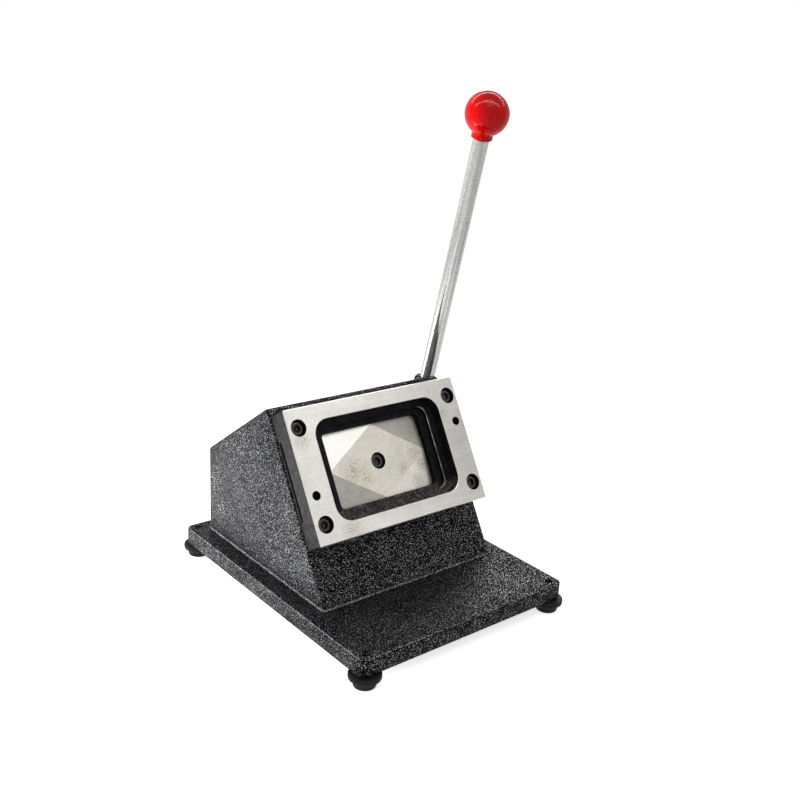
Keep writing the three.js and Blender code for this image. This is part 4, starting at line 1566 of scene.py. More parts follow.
@dataclass
class Housing:
    """The cast wedge that carries the die stack on its leaning front."""

    width: float = 152.5
    depth: float = 152.9515
    front_y: float = -51.9758
    ridge: float = 122.004
    back: float = 66.5
    front_wall: float = 8.0
    wall: float = 6.0
    inner_front_y: float = -42.64
    inner_back_y: float = 94.98
    edge: float = 1.5
    roof_radius: float = 3.0
    bead_size: float = 0.8
    bead_steps: tuple[tuple[float, float, float], ...] = (
        (0.0, 1.5, 0.05), (0.0, 1.5, 0.35), (0.7, 1.2, 0.9), (2.0, 0.6, 1.4))
    post_size: float = 18.0
    post_height: float = 24.0
    bolt_hole_top: float = 15.3
    bush_hole: float = 12.6
    boss_length: float = 14.0
    overlap: float = 4.0
    pin_hole: float = 4.3
    pin_from_pivot: Point = (7.707, 38.61)
    window: Rectangle = Rectangle(87.6, 56.0, 4.18)

    @staticmethod
    def cross_frame(behind: float = 0.0, above: float = 0.0) -> Matrix:
        """The housing's frame moved to an axis beside the cross shaft's, with Z along it.

        Args:
            behind: How far behind the cross shaft the axis is.
            above: How far above the cross shaft it is.

        Returns:
            The frame.
        """
        shaft = LAYOUT.pivot
        return Matrix.Translation((0, shaft.y + behind, shaft.z - LAYOUT.base_top + above)) @ ALONG_X

    def outline(self, front: float, shell: float, bottom: float) -> list[Point]:
        """The side outline, as distances front to back and over the base.

        Args:
            front: How far the front is set in.
            shell: How far the roof and the back are set in.
            bottom: The bottom's height.

        Returns:
            The corners from the front's foot round to the ridge.
        """
        run = math.tan(math.radians(LAYOUT.front_lean))
        back_y = self.front_y + self.depth
        ridge_y = self.front_y + self.ridge * run
        corners = [(self.front_y, 0.0), (back_y, 0.0), (back_y, self.back), (ridge_y, self.ridge)]
        return inset(corners, [bottom, shell, shell, front])

    @staticmethod
    def side_ring(corners: Sequence[Point], radius: float, x: float) -> list[Vector]:
        """A side outline with a rounded back edge and ridge, as a ring across X.

        Args:
            corners: The outline's corners from the front's foot round to the ridge.
            radius: The rounding's radius.
            x: The ring's place.

        Returns:
            The ring.
        """
        return sideways(rounded(corners, [0, 0, radius, radius]), x)

    def skin(self) -> Solid:
        """The outside, with rounded side edges and a rounded ridge."""
        half = self.width / 2
        return Solid.lofted([
            self.side_ring(self.outline(inward, inward, 0.0), self.roof_radius - inward, x)
            for x, inward in soft_ends(-half, half, self.edge)])

    def bead(self) -> Solid:
        """The thick paint that has gathered round the housing's foot."""
        wide, deep = self.width + 2 * self.bead_size, self.depth + 2 * self.bead_size
        rings = [Rectangle(wide - less, deep - less, radius).ring(level)
                 for less, radius, level in self.bead_steps]
        return Solid.lofted(rings).moved(Matrix.Translation((0, self.front_y + self.depth / 2, 0)))

    def bead_zone(self, centre: Vector, normal: Vector) -> int:
        """The bead carries a painted highlight in lighter paint.

        Args:
            centre: A face's centre.
            normal: Its normal.

        Returns:
            0 for the casting, 1 for the painted highlight on the bead.
        """
        # Painted highlight: the bead's sloping faces get the lighter paint.
        return int(0.3 < centre.z < self.bead_steps[-1][-1] and 0.4 < normal.z < 0.9)

    def cavity(self) -> Solid:
        """The hollow inside, less the posts for the bolts and the boss for the shaft's left end."""
        half, past = self.width / 2 - self.wall, 3.0
        corners = self.outline(self.front_wall, self.wall, -past)
        hollow = Solid.lofted([self.side_ring(corners, self.roof_radius, x) for x in (-half, half)])
        size = self.post_size + self.overlap
        rows = (self.inner_front_y - self.overlap + size / 2, self.inner_back_y - self.post_size + size / 2)
        posts = [Solid.block((size, size, self.post_height + 2 * past),
                             (sign * (half - self.post_size + size / 2), y, self.post_height / 2 - past))
                 for sign in (-1, 1) for y in rows]
        boss = Solid.rod(self.bush_hole + self.overlap, -half - self.overlap, -half + self.boss_length)
        return hollow - Solid.together([*posts, boss.moved(self.cross_frame())])

    def side_holes(self) -> Solid:
        """The holes for the bushes and the lever's stop pin."""
        outer, inner, past = self.width / 2, self.width / 2 - self.wall, 2.0
        blind = Solid.rod(self.bush_hole, -inner - GAP, -inner + self.boss_length + past)
        through = drilled(self.bush_hole, inner - past, outer)
        pin = drilled(self.pin_hole, inner - past, outer, lip=0.4)
        at_shaft = self.cross_frame()
        return Solid.together([
            blind.moved(at_shaft), through.moved(at_shaft),
            pin.moved(self.cross_frame(*self.pin_from_pivot))])

    def front_holes(self) -> Solid:
        """The window and the holes for the die stack's screws, dowels and guide bolts."""
        low, high = -10.0, 2.0
        window = Solid.lofted([self.window.ring(low), self.window.ring(high)])
        screws = hole(DieStack.screw.bore, low, high).at(*DieStack.screw_places())
        guides = hole(PunchAndRam.guide_radius + GAP, low, high).at(*mirrored(PunchAndRam.guide_x))
        dowels = hole(DieStack.dowel_radius + GAP, -DieStack.dowel_in_wall - GAP, high)
        holes = Solid.together([window, screws, guides, dowels.at(*mirrored(*DieStack.dowel_place))])
        to_die = Matrix.Translation((-LAYOUT.middle_x, 0, -LAYOUT.base_top)) @ LAYOUT.die
        return holes.moved(to_die)

    def pieces(self) -> list[Piece]:
        """The housing's pieces."""
        bolts = hole(BaseAndFeet.bolt.bore, -2.0, self.bolt_hole_top).at(*BaseAndFeet.bolt_places())
        shell = self.skin() + self.bead() - self.cavity() - self.side_holes() - self.front_holes() - bolts
        return [Piece("painted_housing", shell, LAYOUT.floor @ lift(LAYOUT.base_top), PAINT, Body.FRAME,
                      ["housing_shell"], [PAINT_PAINTED_HIGHLIGHT], self.bead_zone)]


@dataclass
class DieStack:
    """Guide plate, slot spacers and die plate on the housing's front, with their screws and dowels."""

    trees: Trees
    width: float = 150.0
    height: float = 94.5
    guide_back: float = 0.3
    slot_back: float = 2.1
    slot_front: float = 4.1
    slot_height: float = 56.0
    face: float = 17.1
    relief: Rectangle = Rectangle(110.0, 72.0, 12.0)
    relief_depth: float = 9.0
    step: Rectangle = Rectangle(98.0, 62.0, 7.0)
    land: Rectangle = Rectangle(86.2, 54.6, 3.48)
    land_length: float = 1.0
    guide_window: Rectangle = Rectangle(86.6, 55.0, 3.68)
    screw: SocketScrew = SocketScrew(3.0, 5.0, 6.0, 2.9, 3.0, 16.9, 0.9)
    screw_place: Point = (66.5, 33.5)
    head_below_face: float = 2.2
    dowel_radius: float = 2.5
    dowel_in_wall: float = 5.0
    dowel_in_die: float = 7.0
    dowel_place: Point = (50.0, -39.0)
    tapped_radius: float = 3.0
    tapped_place: Point = (67.5, 13.4)

    @property
    def screw_seat(self) -> float:
        """The level that the screws' heads bear on."""
        return self.face - self.head_below_face - self.screw.head_height

    @classmethod
    def screw_places(cls) -> list[Point]:
        """The die screws' places."""
        x, y = cls.screw_place
        return [(-x, -y), (x, -y), (-x, y), (x, y)]

    def die_plate(self) -> Solid:
        """The die plate with its stepped window, counterbores and tapped holes."""
        face, back, floor = self.face, self.slot_front, self.face - self.relief_depth
        outside = Rectangle(self.width, self.height, 1.2)
        back_edge, chamfer, lip, fillet, half_fillet, step_edge = 0.2, 0.6, 0.4, 1.2, 0.35, 0.5
        rings = [
            outside.ring(back, back_edge), outside.ring(back + back_edge),
            outside.ring(face - chamfer), outside.ring(face, chamfer),
            self.relief.ring(face, -lip), self.relief.ring(face - lip),
            self.relief.ring(floor + fillet), self.relief.ring(floor + half_fillet, half_fillet),
            self.relief.ring(floor, fillet),
            self.step.ring(floor, -step_edge), self.step.ring(floor - step_edge),
            self.step.ring(back + self.land_length),
            self.land.ring(back + self.land_length), self.land.ring(back),
        ]
        sink_floor = self.screw_seat - GAP
        through = hole(self.screw.bore, back - 1, sink_floor + 1).at(*self.screw_places())
        counterbores = drilled(self.screw.sink, sink_floor, face, lip=0.25).at(*self.screw_places())
        tapped = drilled(self.tapped_radius, back, face, lip=0.25, foot=0.3)
        dowels = hole(self.dowel_radius + GAP, back - 1, back + self.dowel_in_die + GAP)
        others = Solid.together([
            through, tapped.at(*mirrored(*self.tapped_place)), dowels.at(*mirrored(*self.dowel_place))])
        return Solid.lofted(rings, looped=True) - others - counterbores

    def die_zone(self, centre: Vector, normal: Vector) -> int:
        """The face is ground, the window is dark with painted light in parts, and the sides and the holes'
        lips are dulled.

        Args:
            centre: A face's centre.
            normal: Its normal.

        Returns:
            0 for the sides, 1 for the ground face, 2 for hardening scale, 3 for a painted highlight on the
            right side of the window's step and 4 for lighter scale that is painted light.
        """
        holes = (*self.screw_places(), *mirrored(*self.tapped_place))
        lip_reach, chamfer_depth, corner_reach = self.screw.head_radius + 1.3, 0.65, 4.0
        near_hole = any(math.dist((centre.x, centre.y), place) < lip_reach for place in holes)
        if 0.3 < normal.z < 0.95 and near_hole:
            return 0
        if centre.z > self.face - chamfer_depth and normal.z > 0.3:
            return 1
        if abs(centre.x) > self.relief.width / 2 or abs(centre.y) > self.relief.height / 2:
            return 0
        below_ledge = self.face - self.relief_depth - centre.z
        # Painted highlight: a light line along the step's edge, on the window's right side only.
        if 0.1 < below_ledge < 0.52 and 0.3 < normal.z < 0.9 and centre.x > 0:
            return 3
        # Painted light: the window's lower ledge and its lower right corner are painted lighter than the
        # rest.
        low = centre.y < -self.land.height / 2
        dusty = low and (normal.z > 0.5 or centre.x > self.step.width / 2 - corner_reach)
        return 4 if dusty else 2

    def holed(self, body: Solid, low: float, high: float) -> Solid:
        """Drills a thin plate of the stack for the screws and dowels.

        Args:
            body: The plate.
            low: Its back.
            high: Its front.

        Returns:
            The drilled plate.
        """
        edge = 0.2
        screws = drilled(self.screw.bore, low, high, edge, edge).at(*self.screw_places())
        dowels = drilled(self.dowel_radius + GAP, low, high, edge, edge).at(*mirrored(*self.dowel_place))
        return body - Solid.together([screws, dowels])

    def guide_plate(self) -> Solid:
        """The thin plate behind the slot, with the opening that guides the punch."""
        low, high, edge = self.guide_back, self.slot_back, 0.2
        outside = Rectangle(self.width, self.height, 0.6)
        front = Rectangle(self.width - 2 * edge, self.height - 2 * edge, 0.5)
        rings = [outside.ring(low), outside.ring(high - edge), front.ring(high),
                 self.guide_window.ring(high), self.guide_window.ring(low)]
        return self.holed(Solid.lofted(rings, looped=True), low, high)

    def spacers(self) -> Solid:
        """The two bars that close the slot above and below the card strip."""
        low, high = self.slot_back + GAP, self.slot_front - GAP
        bar = (self.height - self.slot_height) / 2
        size, y, middle = (self.width, bar, high - low), (self.height - bar) / 2, (low + high) / 2
        bars = [Solid.block(size, (0, sign * y, middle), edge=0.15) for sign in (-1, 1)]
        return self.holed(Solid.together(bars), low, high)

    def pieces(self) -> list[Piece]:
        """The stack's pieces."""
        spacing = tuple(2 * place for place in self.screw_place)
        lifted = self.screw.solid().moved(lift(self.screw_seat))
        screws = self.trees.grid.spread(lifted, OXIDE, spacing, most_turn=1.0, seed=2)
        pin_top = self.slot_front + self.dowel_in_die
        pin = Solid.rod(self.dowel_radius, -self.dowel_in_wall, pin_top, edge=0.4, sides=HOLE_SIDES)
        return [
            Piece("die_plate_ground", self.die_plate(), LAYOUT.die, DULL_STEEL, Body.FRAME, ["die_plate"],
                  [DIE_STEEL, SCALE, EDGE_PAINTED_HIGHLIGHT, SCALE_PAINTED_LIGHT], self.die_zone),
            *alike(LAYOUT.die, Body.FRAME,
                   ("guide_plate_ground", self.guide_plate(), DULL_STEEL, "guide_plate"),
                   ("slot_spacers", self.spacers(), DULL_BAR, "slot_spacer_bottom", "slot_spacer_top"),
                   ("die_screws", screws, OXIDE,
                    *(f"die_screw_{level}_{side.label}" for level in ("lower", "upper") for side in Side)),
                   ("dowel_pins", pin.at(*mirrored(*self.dowel_place)), PLAIN_STEEL,
                    "dowel_pin_left", "dowel_pin_right")),
        ]


@dataclass
class PunchAndRam:
    """The faceted punch on its ram, the bolts that guide them and the springs that bring them back."""

    trees: Trees
    guide_x: float = 56.0
    guide_radius: float = 5.0
    guide_head: Point = (8.0, 5.0)
    guide_tip: float = -1.0
    width: float = 85.6
    height: float = 54.0
    radius: float = 3.18
    tips_x: Point = (2.2, -1.2)
    front: float = 1.8
    back: float = -20.2
    shear: float = 1.6
    block_size: Point = (70.0, 42.0)
    ear_size: Point = (130.0, 34.0)
    ear_front: float = -39.6
    ear_back: float = -54.6
    bush_radius: float = 7.0
    pad: tuple[float, float, float] = (22.0, 26.0, 6.0)
    spigot_radius: float = 4.0
    spigot_length: float = 8.0
    travel: float = 6.55
    spring_length: float = 31.0
    screw: SocketScrew = SocketScrew(3.0, 5.0, 5.4, 2.9, 3.0, 31.1, 0.6)
    screw_in_ram: float = 16.0
    head_below_face: float = 1.5

    @property
    def screw_seat(self) -> float:
        """The level that the screw's head bears on."""
        return self.front - self.head_below_face - self.screw.head_height

    def punch(self) -> Solid:
        """The punch, whose corner facets fall away from the diamond in its middle."""
        half_width, half_height = self.width / 2, self.height / 2
        form = bmesh.new()
        corner = Rectangle(self.width, self.height, self.radius).outline()
        per_corner = len(corner) // 4
        top, bottom = self.tips_x
        middles = [Vector((half_width, 0)), Vector((top, half_height)), Vector((-half_width, 0)),
                   Vector((bottom, -half_height))]
        rim: list[bmesh.types.BMVert] = []
        tips: list[bmesh.types.BMVert] = []
        facets: list[list[bmesh.types.BMVert]] = []
        for quarter in range(4):
            points = corner[quarter * per_corner:(quarter + 1) * per_corner]
            start, end = middles[quarter - 1], middles[quarter]
            away = Vector((end.y - start.y, start.x - end.x))
            outermost = Vector((max(start.x, end.x, key=abs), max(start.y, end.y, key=abs)))
            slope = self.shear / (outermost - start).dot(away)
            arc = [form.verts.new((*at, self.front - slope * (Vector(at) - start).dot(away)))
                   for at in points]
            tip = form.verts.new((*middles[quarter], self.front))
            rim += [*arc, tip]
            tips.append(tip)
            facets.append(arc)
        for quarter in range(4):
            form.faces.new([tips[quarter - 1], *facets[quarter], tips[quarter]])
        form.faces.new(tips)
        foot = [form.verts.new((vert.co.x, vert.co.y, self.back)) for vert in rim]
        form.faces.new(foot)
        for index in range(len(rim)):
            after = (index + 1) % len(rim)
            form.faces.new((rim[index], rim[after], foot[after], foot[index]))
        bore = hole(self.screw.bore, self.back - 1, self.screw_seat + 1)
        counterbore = drilled(self.screw.sink, self.screw_seat - GAP, self.front, lip=0.3)
        return Solid.closed(form) - bore - counterbore

    def punch_zone(self, centre: Vector, normal: Vector) -> int:
        """The number of a face's finish: diamond, facet with a painted highlight, facet with painted light,
        facet with painted shade, or dark sides.

        Args:
            centre: A face's centre.
            normal: Its normal.

        Returns:
            The number.
        """
        if normal.z < 0.9 or centre.z < self.front - 2:
            return 4
        if normal.z > 0.9999:
            return 0
        # The facets' colours are painted highlight, painted light and painted shade, set by the way each
        # facet faces.
        if centre.x * centre.y > 0:
            return 3
        return 1 if centre.x < 0 else 2

    def ram(self) -> Solid:
        """The ram's block with its two ears, bored for the bushes, the screw and the pad."""
        front = self.back - GAP
        block = Solid.block((*self.block_size, front - self.ear_back), (0, 0, (front + self.ear_back) / 2))
        ears = Solid.block((*self.ear_size, self.ear_front - self.ear_back),
                           (0, 0, (self.ear_front + self.ear_back) / 2))
        bores = drilled(self.bush_radius + GAP, self.ear_back, self.ear_front, lip=0.4, foot=0.4)
        screw = drilled(self.screw.bore, self.back - self.screw_in_ram - GAP, front, lip=0.4)
        spigot_floor = self.ear_back + self.spigot_length + GAP
        spigot = drilled(self.spigot_radius + GAP, -spigot_floor, -self.ear_back, lip=0.4)
        holes = [bores.at(*mirrored(self.guide_x)), screw, spigot.moved(UPSIDE_DOWN)]
        return (block + ears).bevelled(width=0.8) - Solid.together(holes)

    def follower_pad(self) -> Solid:
        """The pad that the cam presses on, with the spigot that holds it in the ram."""
        pad = Solid.block(self.pad, (0, 0, self.ear_back - GAP - self.pad[2] / 2), edge=0.5)
        foot, top = self.ear_back - 4, self.ear_back + self.spigot_length
        return pad + Solid.rod(self.spigot_radius, foot, top, edge=0.4)

    def guide_bolt(self) -> Solid:
        """A bolt that guides the ram, with its head behind the ram's ear."""
        head_radius, head_height = self.guide_head
        head, radius, tip = self.ear_back - GAP, self.guide_radius, self.guide_tip
        profile = rounded([(0, head - head_height), (head_radius, head - head_height), (head_radius, head),
                           (radius, head), (radius, tip), (0, tip)], [0, 0.6, 0.3, 0, 0.6, 0], steps=4)
        socket_radius, socket_depth = 3.4, 3.0
        socket = hex_socket(socket_radius, socket_depth, head_height - head)
        return Solid.turned(profile) - socket.moved(UPSIDE_DOWN)

    def pieces(self) -> list[Piece]:
        """The punch's and ram's pieces."""
        screw = self.screw.solid().moved(lift(self.screw_seat))
        bush = Solid.tube(self.guide_radius + GAP, self.bush_radius, self.ear_back, self.ear_front)
        spread, spacing = self.trees.grid.spread, (2 * self.guide_x, 0.0)
        bushes = spread(bush, BRONZE, spacing, most_turn=0.0, seed=1)
        bolts = spread(self.guide_bolt(), PLAIN_STEEL, spacing, most_turn=0.0, seed=1)
        return [
            Piece("punch_ground", self.punch(), LAYOUT.die, DIAMOND_STEEL, Body.RAM, ["punch"],
                  [FACET_PAINTED_HIGHLIGHT, FACET_PAINTED_LIGHT, FACET_PAINTED_SHADE, SCALE], self.punch_zone, sharp=1.2),
            *alike(LAYOUT.die, Body.RAM,
                   ("punch_centre_screw", screw, OXIDE, "punch_screw"),
                   ("ram_machined", self.ram(), PLAIN_STEEL, "ram"),
                   ("follower_pad_ground", self.follower_pad(), GROUND_EDGE, "follower_pad"),
                   ("ram_bushes", bushes, BRONZE, "ram_bush_left", "ram_bush_right")),
            Piece("guide_bolts", bolts, LAYOUT.die, PLAIN_STEEL, Body.FRAME,
                  ["guide_bolt_left", "guide_bolt_right"]),
        ]

    def springs(self) -> None:
        """Winds the return springs and gives each its own mesh."""
        wound = self.trees.spring.run(Solid.block((1, 1, 1), (0, 0, 0)), SPRING_WIRE, {
            "Curls": 6.0, "Closed curls": 1.0, "Mean radius": 7.6, "Wire radius": 1.0,
            "Length": self.spring_length, "Curl gap": 0.8, "Steps per curl": 32.0})
        ram_end = self.ear_front + GAP
        for side in Side:
            x, node = side.value * self.guide_x, f"return_spring_{side.label}"
            place = LAYOUT.die @ Matrix.Translation((x, 0, ram_end))
            spring = Piece(f"wound_{node}", wound, place, SPRING_WIRE, Body.FRAME, [node]).show()
            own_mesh(spring)


@dataclass
class ShaftAndCam:
    """The cross shaft in its bushes, with the cam, its key and the collar."""

    radius: float = 9.0
    half_inside: float = 70.25
    end: float = 96.85
    screw_depth: float = 16.3
    screw_bore: float = 4.3
    bush_wall: float = 3.0
    bush_length: float = 14.0
    flange_radius: float = 15.0
    flange_inner: float = 76.55
    flange_outer: float = 78.55
    collar_radius: float = 15.0
    collar_width: float = 10.0
    set_screw_bore: float = 2.8
    key_size: float = 5.0
    cam_width: float = 18.0
    cam_radius: float = 18.0
    rise: float = 5.0
    lead: float = 8.0
    travel: float = 75.0

    @property
    def bore(self) -> float:
        """The radius of a hole that clears the shaft."""
        return self.radius + GAP

    @property
    def collar_x(self) -> float:
        """The collar's middle."""
        return self.half_inside - GAP - self.collar_width / 2

    def cam_point(self, turn: float) -> Point:
        """A point of the cam's outline, whose reach grows evenly with the turn and falls back smoothly.

        Args:
            turn: The angle of the flat that touches it there.

        Returns:
            The point, sideways and outward.
        """
        start, end = -math.radians(self.lead), math.radians(self.travel + self.lead)
        if turn <= end:
            reach, rate = self.cam_radius + self.rise * turn, self.rise
        else:
            span = 2 * math.pi - end + start
            drop = self.rise * (end - start)
            share = (turn - end) / span
            swell = self.rise * span * share * (1 - share) * (1 - 2 * share)
            reach = self.cam_radius + self.rise * end - drop * share * share * (3 - 2 * share) + swell
            rate = self.rise * (1 - 6 * share + 6 * share * share) - drop * 6 * share * (1 - share) / span
        sine, cosine = math.sin(turn), math.cos(turn)
        return reach * sine + rate * cosine, reach * cosine - rate * sine

    def keyway(self, length: float) -> Solid:
        """The slot that the key fills in shaft and cam."""
        size = self.key_size + 2 * GAP
        return Solid.block((length, size, size), (0, self.radius, 0))

    def cam(self) -> Solid:
        """The cam with broken edges, its bore and its keyway."""
        count, half, edge = 180, self.cam_width / 2, 0.5
        turns = [-math.radians(self.lead) + 2 * math.pi * index / count for index in range(count)]
        outline = [self.cam_point(turn) for turn in turns]
        broken = 1 - edge / 20
        steps = ((-half, broken), (-half + edge, 1.0), (half - edge, 1.0), (half, broken))
        rings = [sideways([(y * share, z * share) for y, z in outline], x) for x, share in steps]
        bore = Solid.rod(self.bore, -half - 2, half + 2).moved(ALONG_X)
        return Solid.lofted(rings) - bore - self.keyway(2 * self.cam_width)

    def shaft(self) -> Solid:
        """The cross shaft with its keyway and the tapped hole in its right end."""
        bar = Solid.rod(self.radius, GAP - self.half_inside, self.end, edge=0.8).moved(ALONG_X)
        tapped = drilled(self.screw_bore, self.end - self.screw_depth, self.end, lip=0.6).moved(ALONG_X)
        return bar - self.keyway(self.cam_width + 2 * GAP) - tapped

    def collar(self) -> Solid:
        """The collar that keeps the shaft from sliding out."""
        half = self.collar_width / 2
        low, high = self.collar_x - half, self.collar_x + half
        ring = Solid.tube(self.bore, self.collar_radius, low, high, edge=0.6)
        tapped = drilled(self.set_screw_bore, 6.0, self.collar_radius, lip=0.3)
        return ring.moved(ALONG_X) - tapped.moved(Matrix.Translation((self.collar_x, 0, 0)) @ UPSIDE_DOWN)

    def bushes(self) -> Solid:
        """The plain bush in the left boss and the flanged bush in the right wall."""
        bore, outer, flange = self.bore, self.bore + self.bush_wall, self.flange_radius
        start, inner, end = self.half_inside, self.flange_inner, self.flange_outer
        left = Solid.tube(bore, outer, -start, -start + self.bush_length)
        profile = rounded([(bore, start), (outer, start), (outer, inner), (flange, inner), (flange, end),
                           (bore, end)], [0.3, 0.3, 0, 0.4, 0.5, 0.5], steps=3)
        return Solid.together([left, Solid.turned(profile, looped=True)]).moved(ALONG_X)

    def pieces(self) -> list[Piece]:
        """The shaft's pieces."""
        key = Solid.block((self.cam_width, self.key_size, self.key_size), (0, self.radius, 0), edge=0.3)
        grub = set_screw().moved(Matrix.Translation((self.collar_x, 0, -self.bore)) @ UPSIDE_DOWN)
        return [
            *alike(LAYOUT.shaft, Body.LEVER,
                   ("cross_shaft_turned", self.shaft(), PLAIN_STEEL, "cross_shaft"),
                   ("cam_ground", self.cam(), GROUND_EDGE, "cam"),
                   ("cam_key_steel", key, PLAIN_STEEL, "cam_key"),
                   ("shaft_collar_turned", self.collar(), PLAIN_STEEL, "shaft_collar"),
                   ("collar_grub_screw", grub, OXIDE, "collar_set_screw")),
            Piece("shaft_bushes", self.bushes(), LAYOUT.shaft, BRONZE, Body.FRAME,
                  ["shaft_bush_left", "shaft_bush_right"]),
        ]


@dataclass
class Lever:
    """The arm on the cross shaft's end, the rod in its socket and the ball knob."""

    x: float = 88.35
    hub: tuple[float, float, float] = (19.0, 78.85, 97.85)
    shaft_bore: float = 9.3
    root_width: float = 30.0
    tip_width: float = 18.0
    arm_length: float = 64.0
    arm_thickness: float = 13.0
    socket_radius: float = 10.0
    socket_foot: float = 51.0
    socket_top: float = 77.0
    set_screw_bore: float = 2.8
    rod_radius: float = 6.0
    rod_foot: float = 53.3
    rod_shoulder: float = 270.7
    stud_radius: float = 4.0
    stud_length: float = 18.0
    ball_centre: float = 289.0
    ball_radius: float = 16.0
    neck_radius: float = 7.8
    neck_end: float = 18.0
    bore_radius: float = 6.0
    bore_depth: float = 22.0
    washer_radius: float = 13.0
    washer_thickness: float = 1.5
    end_screw: SocketScrew = SocketScrew(4.0, 6.5, 3.0, 3.4, 2.0, 19.1, 0.6)
    pin_radius: float = 4.0
    pin_ends: Point = (70.25, 92.25)

    @property
    def rod_frame(self) -> Matrix:
        """The lever's frame, moved onto the rod's axis."""
        return LAYOUT.lever @ Matrix.Translation((self.x, 0, 0))

    def arm(self) -> Solid:
        """The cast arm with its hub and socket."""
        radius, inner, outer = self.hub
        half, root, tip = self.arm_thickness / 2, self.root_width / 2, self.tip_width / 2
        across = Matrix.Translation((-self.x, 0, 0)) @ ALONG_X
        outline = [(-root, 0), (root, 0), (tip, self.arm_length), (-tip, self.arm_length)]
        web = Solid.lofted([sideways(outline, x) for x in (-half, half)])
        socket = Solid.rod(self.socket_radius, self.socket_foot, self.socket_top, edge=1.3)
        hub = Solid.rod(radius, inner, outer, edge=0.6).moved(across)
        casting = (hub + web + socket).cast(voxel=0.7, passes=5)
        shaft_bore = drilled(self.shaft_bore, inner, outer, lip=0.6, foot=0.6).moved(across)
        rod_bore = drilled(self.rod_radius + GAP, self.rod_foot - GAP, self.socket_top)
        screw_bore = drilled(self.set_screw_bore, 6.0, radius, lip=0.4).moved(UPSIDE_DOWN)
        return casting - shaft_bore - rod_bore - screw_bore

    def rod(self) -> Solid:
        """The rod, with the stud that the knob is screwed on."""
        foot, shoulder, sides = self.rod_foot, self.rod_shoulder, 96
        tip = shoulder + self.stud_length
        profile = rounded([(0, foot), (self.rod_radius, foot), (self.rod_radius, shoulder),
                           (self.stud_radius, shoulder), (self.stud_radius, tip), (0, tip)],
                          [0, 0.8, 0.5, 0, 0.6, 0], steps=4)
        return Solid.turned(profile, sides)

    def ball(self) -> Solid:
        """The ball with the short neck at its underside and the bore for the insert."""
        lowest = -math.acos(self.neck_radius / self.ball_radius)
        rings, sides = 72, 144
        turns = [lowest + (math.pi / 2 - lowest) * ring / rings for ring in range(1, rings)]
        skin = [(self.ball_radius * math.cos(turn), self.ball_radius * math.sin(turn)) for turn in turns]
        top, end = self.bore_depth - self.neck_end, -self.neck_end
        root = self.ball_radius * math.sin(lowest)
        neck = [(self.neck_radius - 0.5, end), (self.neck_radius, end + 0.5), (self.neck_radius, root - 0.4),
                (self.neck_radius + 0.12, root - 0.1)]
        mouth = 0.4
        bore = [(0, top), (self.bore_radius, top), (self.bore_radius, end + mouth),
                (self.bore_radius + mouth, end)]
        return Solid.turned([*bore, *neck, *skin, (0, self.ball_radius)], sides)

    def insert(self) -> Solid:
        """The knob's threaded insert, with broken edges at both mouths."""
        top = self.bore_depth - self.neck_end - GAP
        inner, outer = self.stud_radius + GAP, self.bore_radius - GAP
        return Solid.tube(inner, outer, -self.neck_end, top, edge=0.35)

    def pieces(self) -> list[Piece]:
        """The lever's pieces."""
        at_ball = self.rod_frame @ lift(self.ball_centre)
        grub = set_screw().moved(lift(-self.shaft_bore) @ UPSIDE_DOWN)
        washer_low = self.hub[2] + GAP
        washer_high = washer_low + self.washer_thickness
        washer = Solid.tube(self.end_screw.bore, self.washer_radius, washer_low, washer_high, edge=0.35)
        screw = self.end_screw.solid().moved(ALONG_X @ lift(washer_high + GAP))
        pin = Solid.rod(self.pin_radius, *self.pin_ends, edge=0.6).moved(ALONG_X)
        at_pin = Matrix.Translation(LAYOUT.pivot + Vector((0, *Housing.pin_from_pivot)))
        return [
            Piece("lever_arm_cast", self.arm(), self.rod_frame, PAINT, Body.LEVER, ["lever_arm"], sharp=40.0),
            Piece("lever_rod_plated", self.rod(), self.rod_frame, PLATING, Body.LEVER, ["lever_rod"]),
            *alike(at_ball, Body.LEVER,
                   ("ball_knob_red", self.ball(), RED, "ball_knob"),
                   ("knob_insert_brass", self.insert(), BRASS, "knob_insert")),
            Piece("lever_grub_screw", grub, self.rod_frame, OXIDE, Body.LEVER, ["lever_set_screw"]),
            *alike(LAYOUT.lever, Body.LEVER,
                   ("end_washer_turned", washer.moved(ALONG_X), PLAIN_STEEL, "end_washer"),
                   ("end_screw_black", screw, OXIDE, "end_screw")),
            Piece("stop_pin_turned", pin, at_pin, PLAIN_STEEL, Body.FRAME, ["lever_stop_pin"]),
        ]


# Studio


BALL_CENTRE = tuple(LAYOUT.lever @ Vector((Lever.x, 0.0, Lever.ball_centre)) * MM)


@dataclass(frozen=True)
class Softbox:
    """A square lamp that shines at the cutter.

    Attributes:
        name: Its name.
        azimuth: Its direction round the cutter, 0 in front and 90 to the right, in degrees.
        elevation: Its height over the horizon, in degrees.
        distance: How far away it is, in metres.
        size: Its width and height, in metres.
        power: Its power in watts.
        aim: The point that it shines at, in metres.
        spread: How wide its beam is, in degrees.
        lights: Whether it lights dull surfaces.
        shows: Whether glossy surfaces show it.
    """

    name: str
    azimuth: float
    elevation: float
    distance: float
    size: tuple[float, float]
    power: float
    aim: Place = (0.0, 0.0, 0.12)
    spread: float = 180.0
    lights: bool = True
    shows: bool = True

    def light(self) -> None:
        """Hangs the lamp."""
        lamp = bpy.data.lights.new(self.name, "AREA")
        lamp.shape = "RECTANGLE"
        lamp.size, lamp.size_y = self.size
        lamp.energy = self.power
        lamp.spread = math.radians(self.spread)
        turn, rise = math.radians(self.azimuth), math.radians(self.elevation)
        away = Vector((math.sin(turn) * math.cos(rise), -math.cos(turn) * math.cos(rise), math.sin(rise)))
        shown = linked(self.name, lamp)
        shown.location = Vector(self.aim) + away * self.distance
        shown.rotation_euler = away.to_track_quat("Z", "Y").to_euler()
        shown.visible_diffuse, shown.visible_glossy = self.lights, self.shows


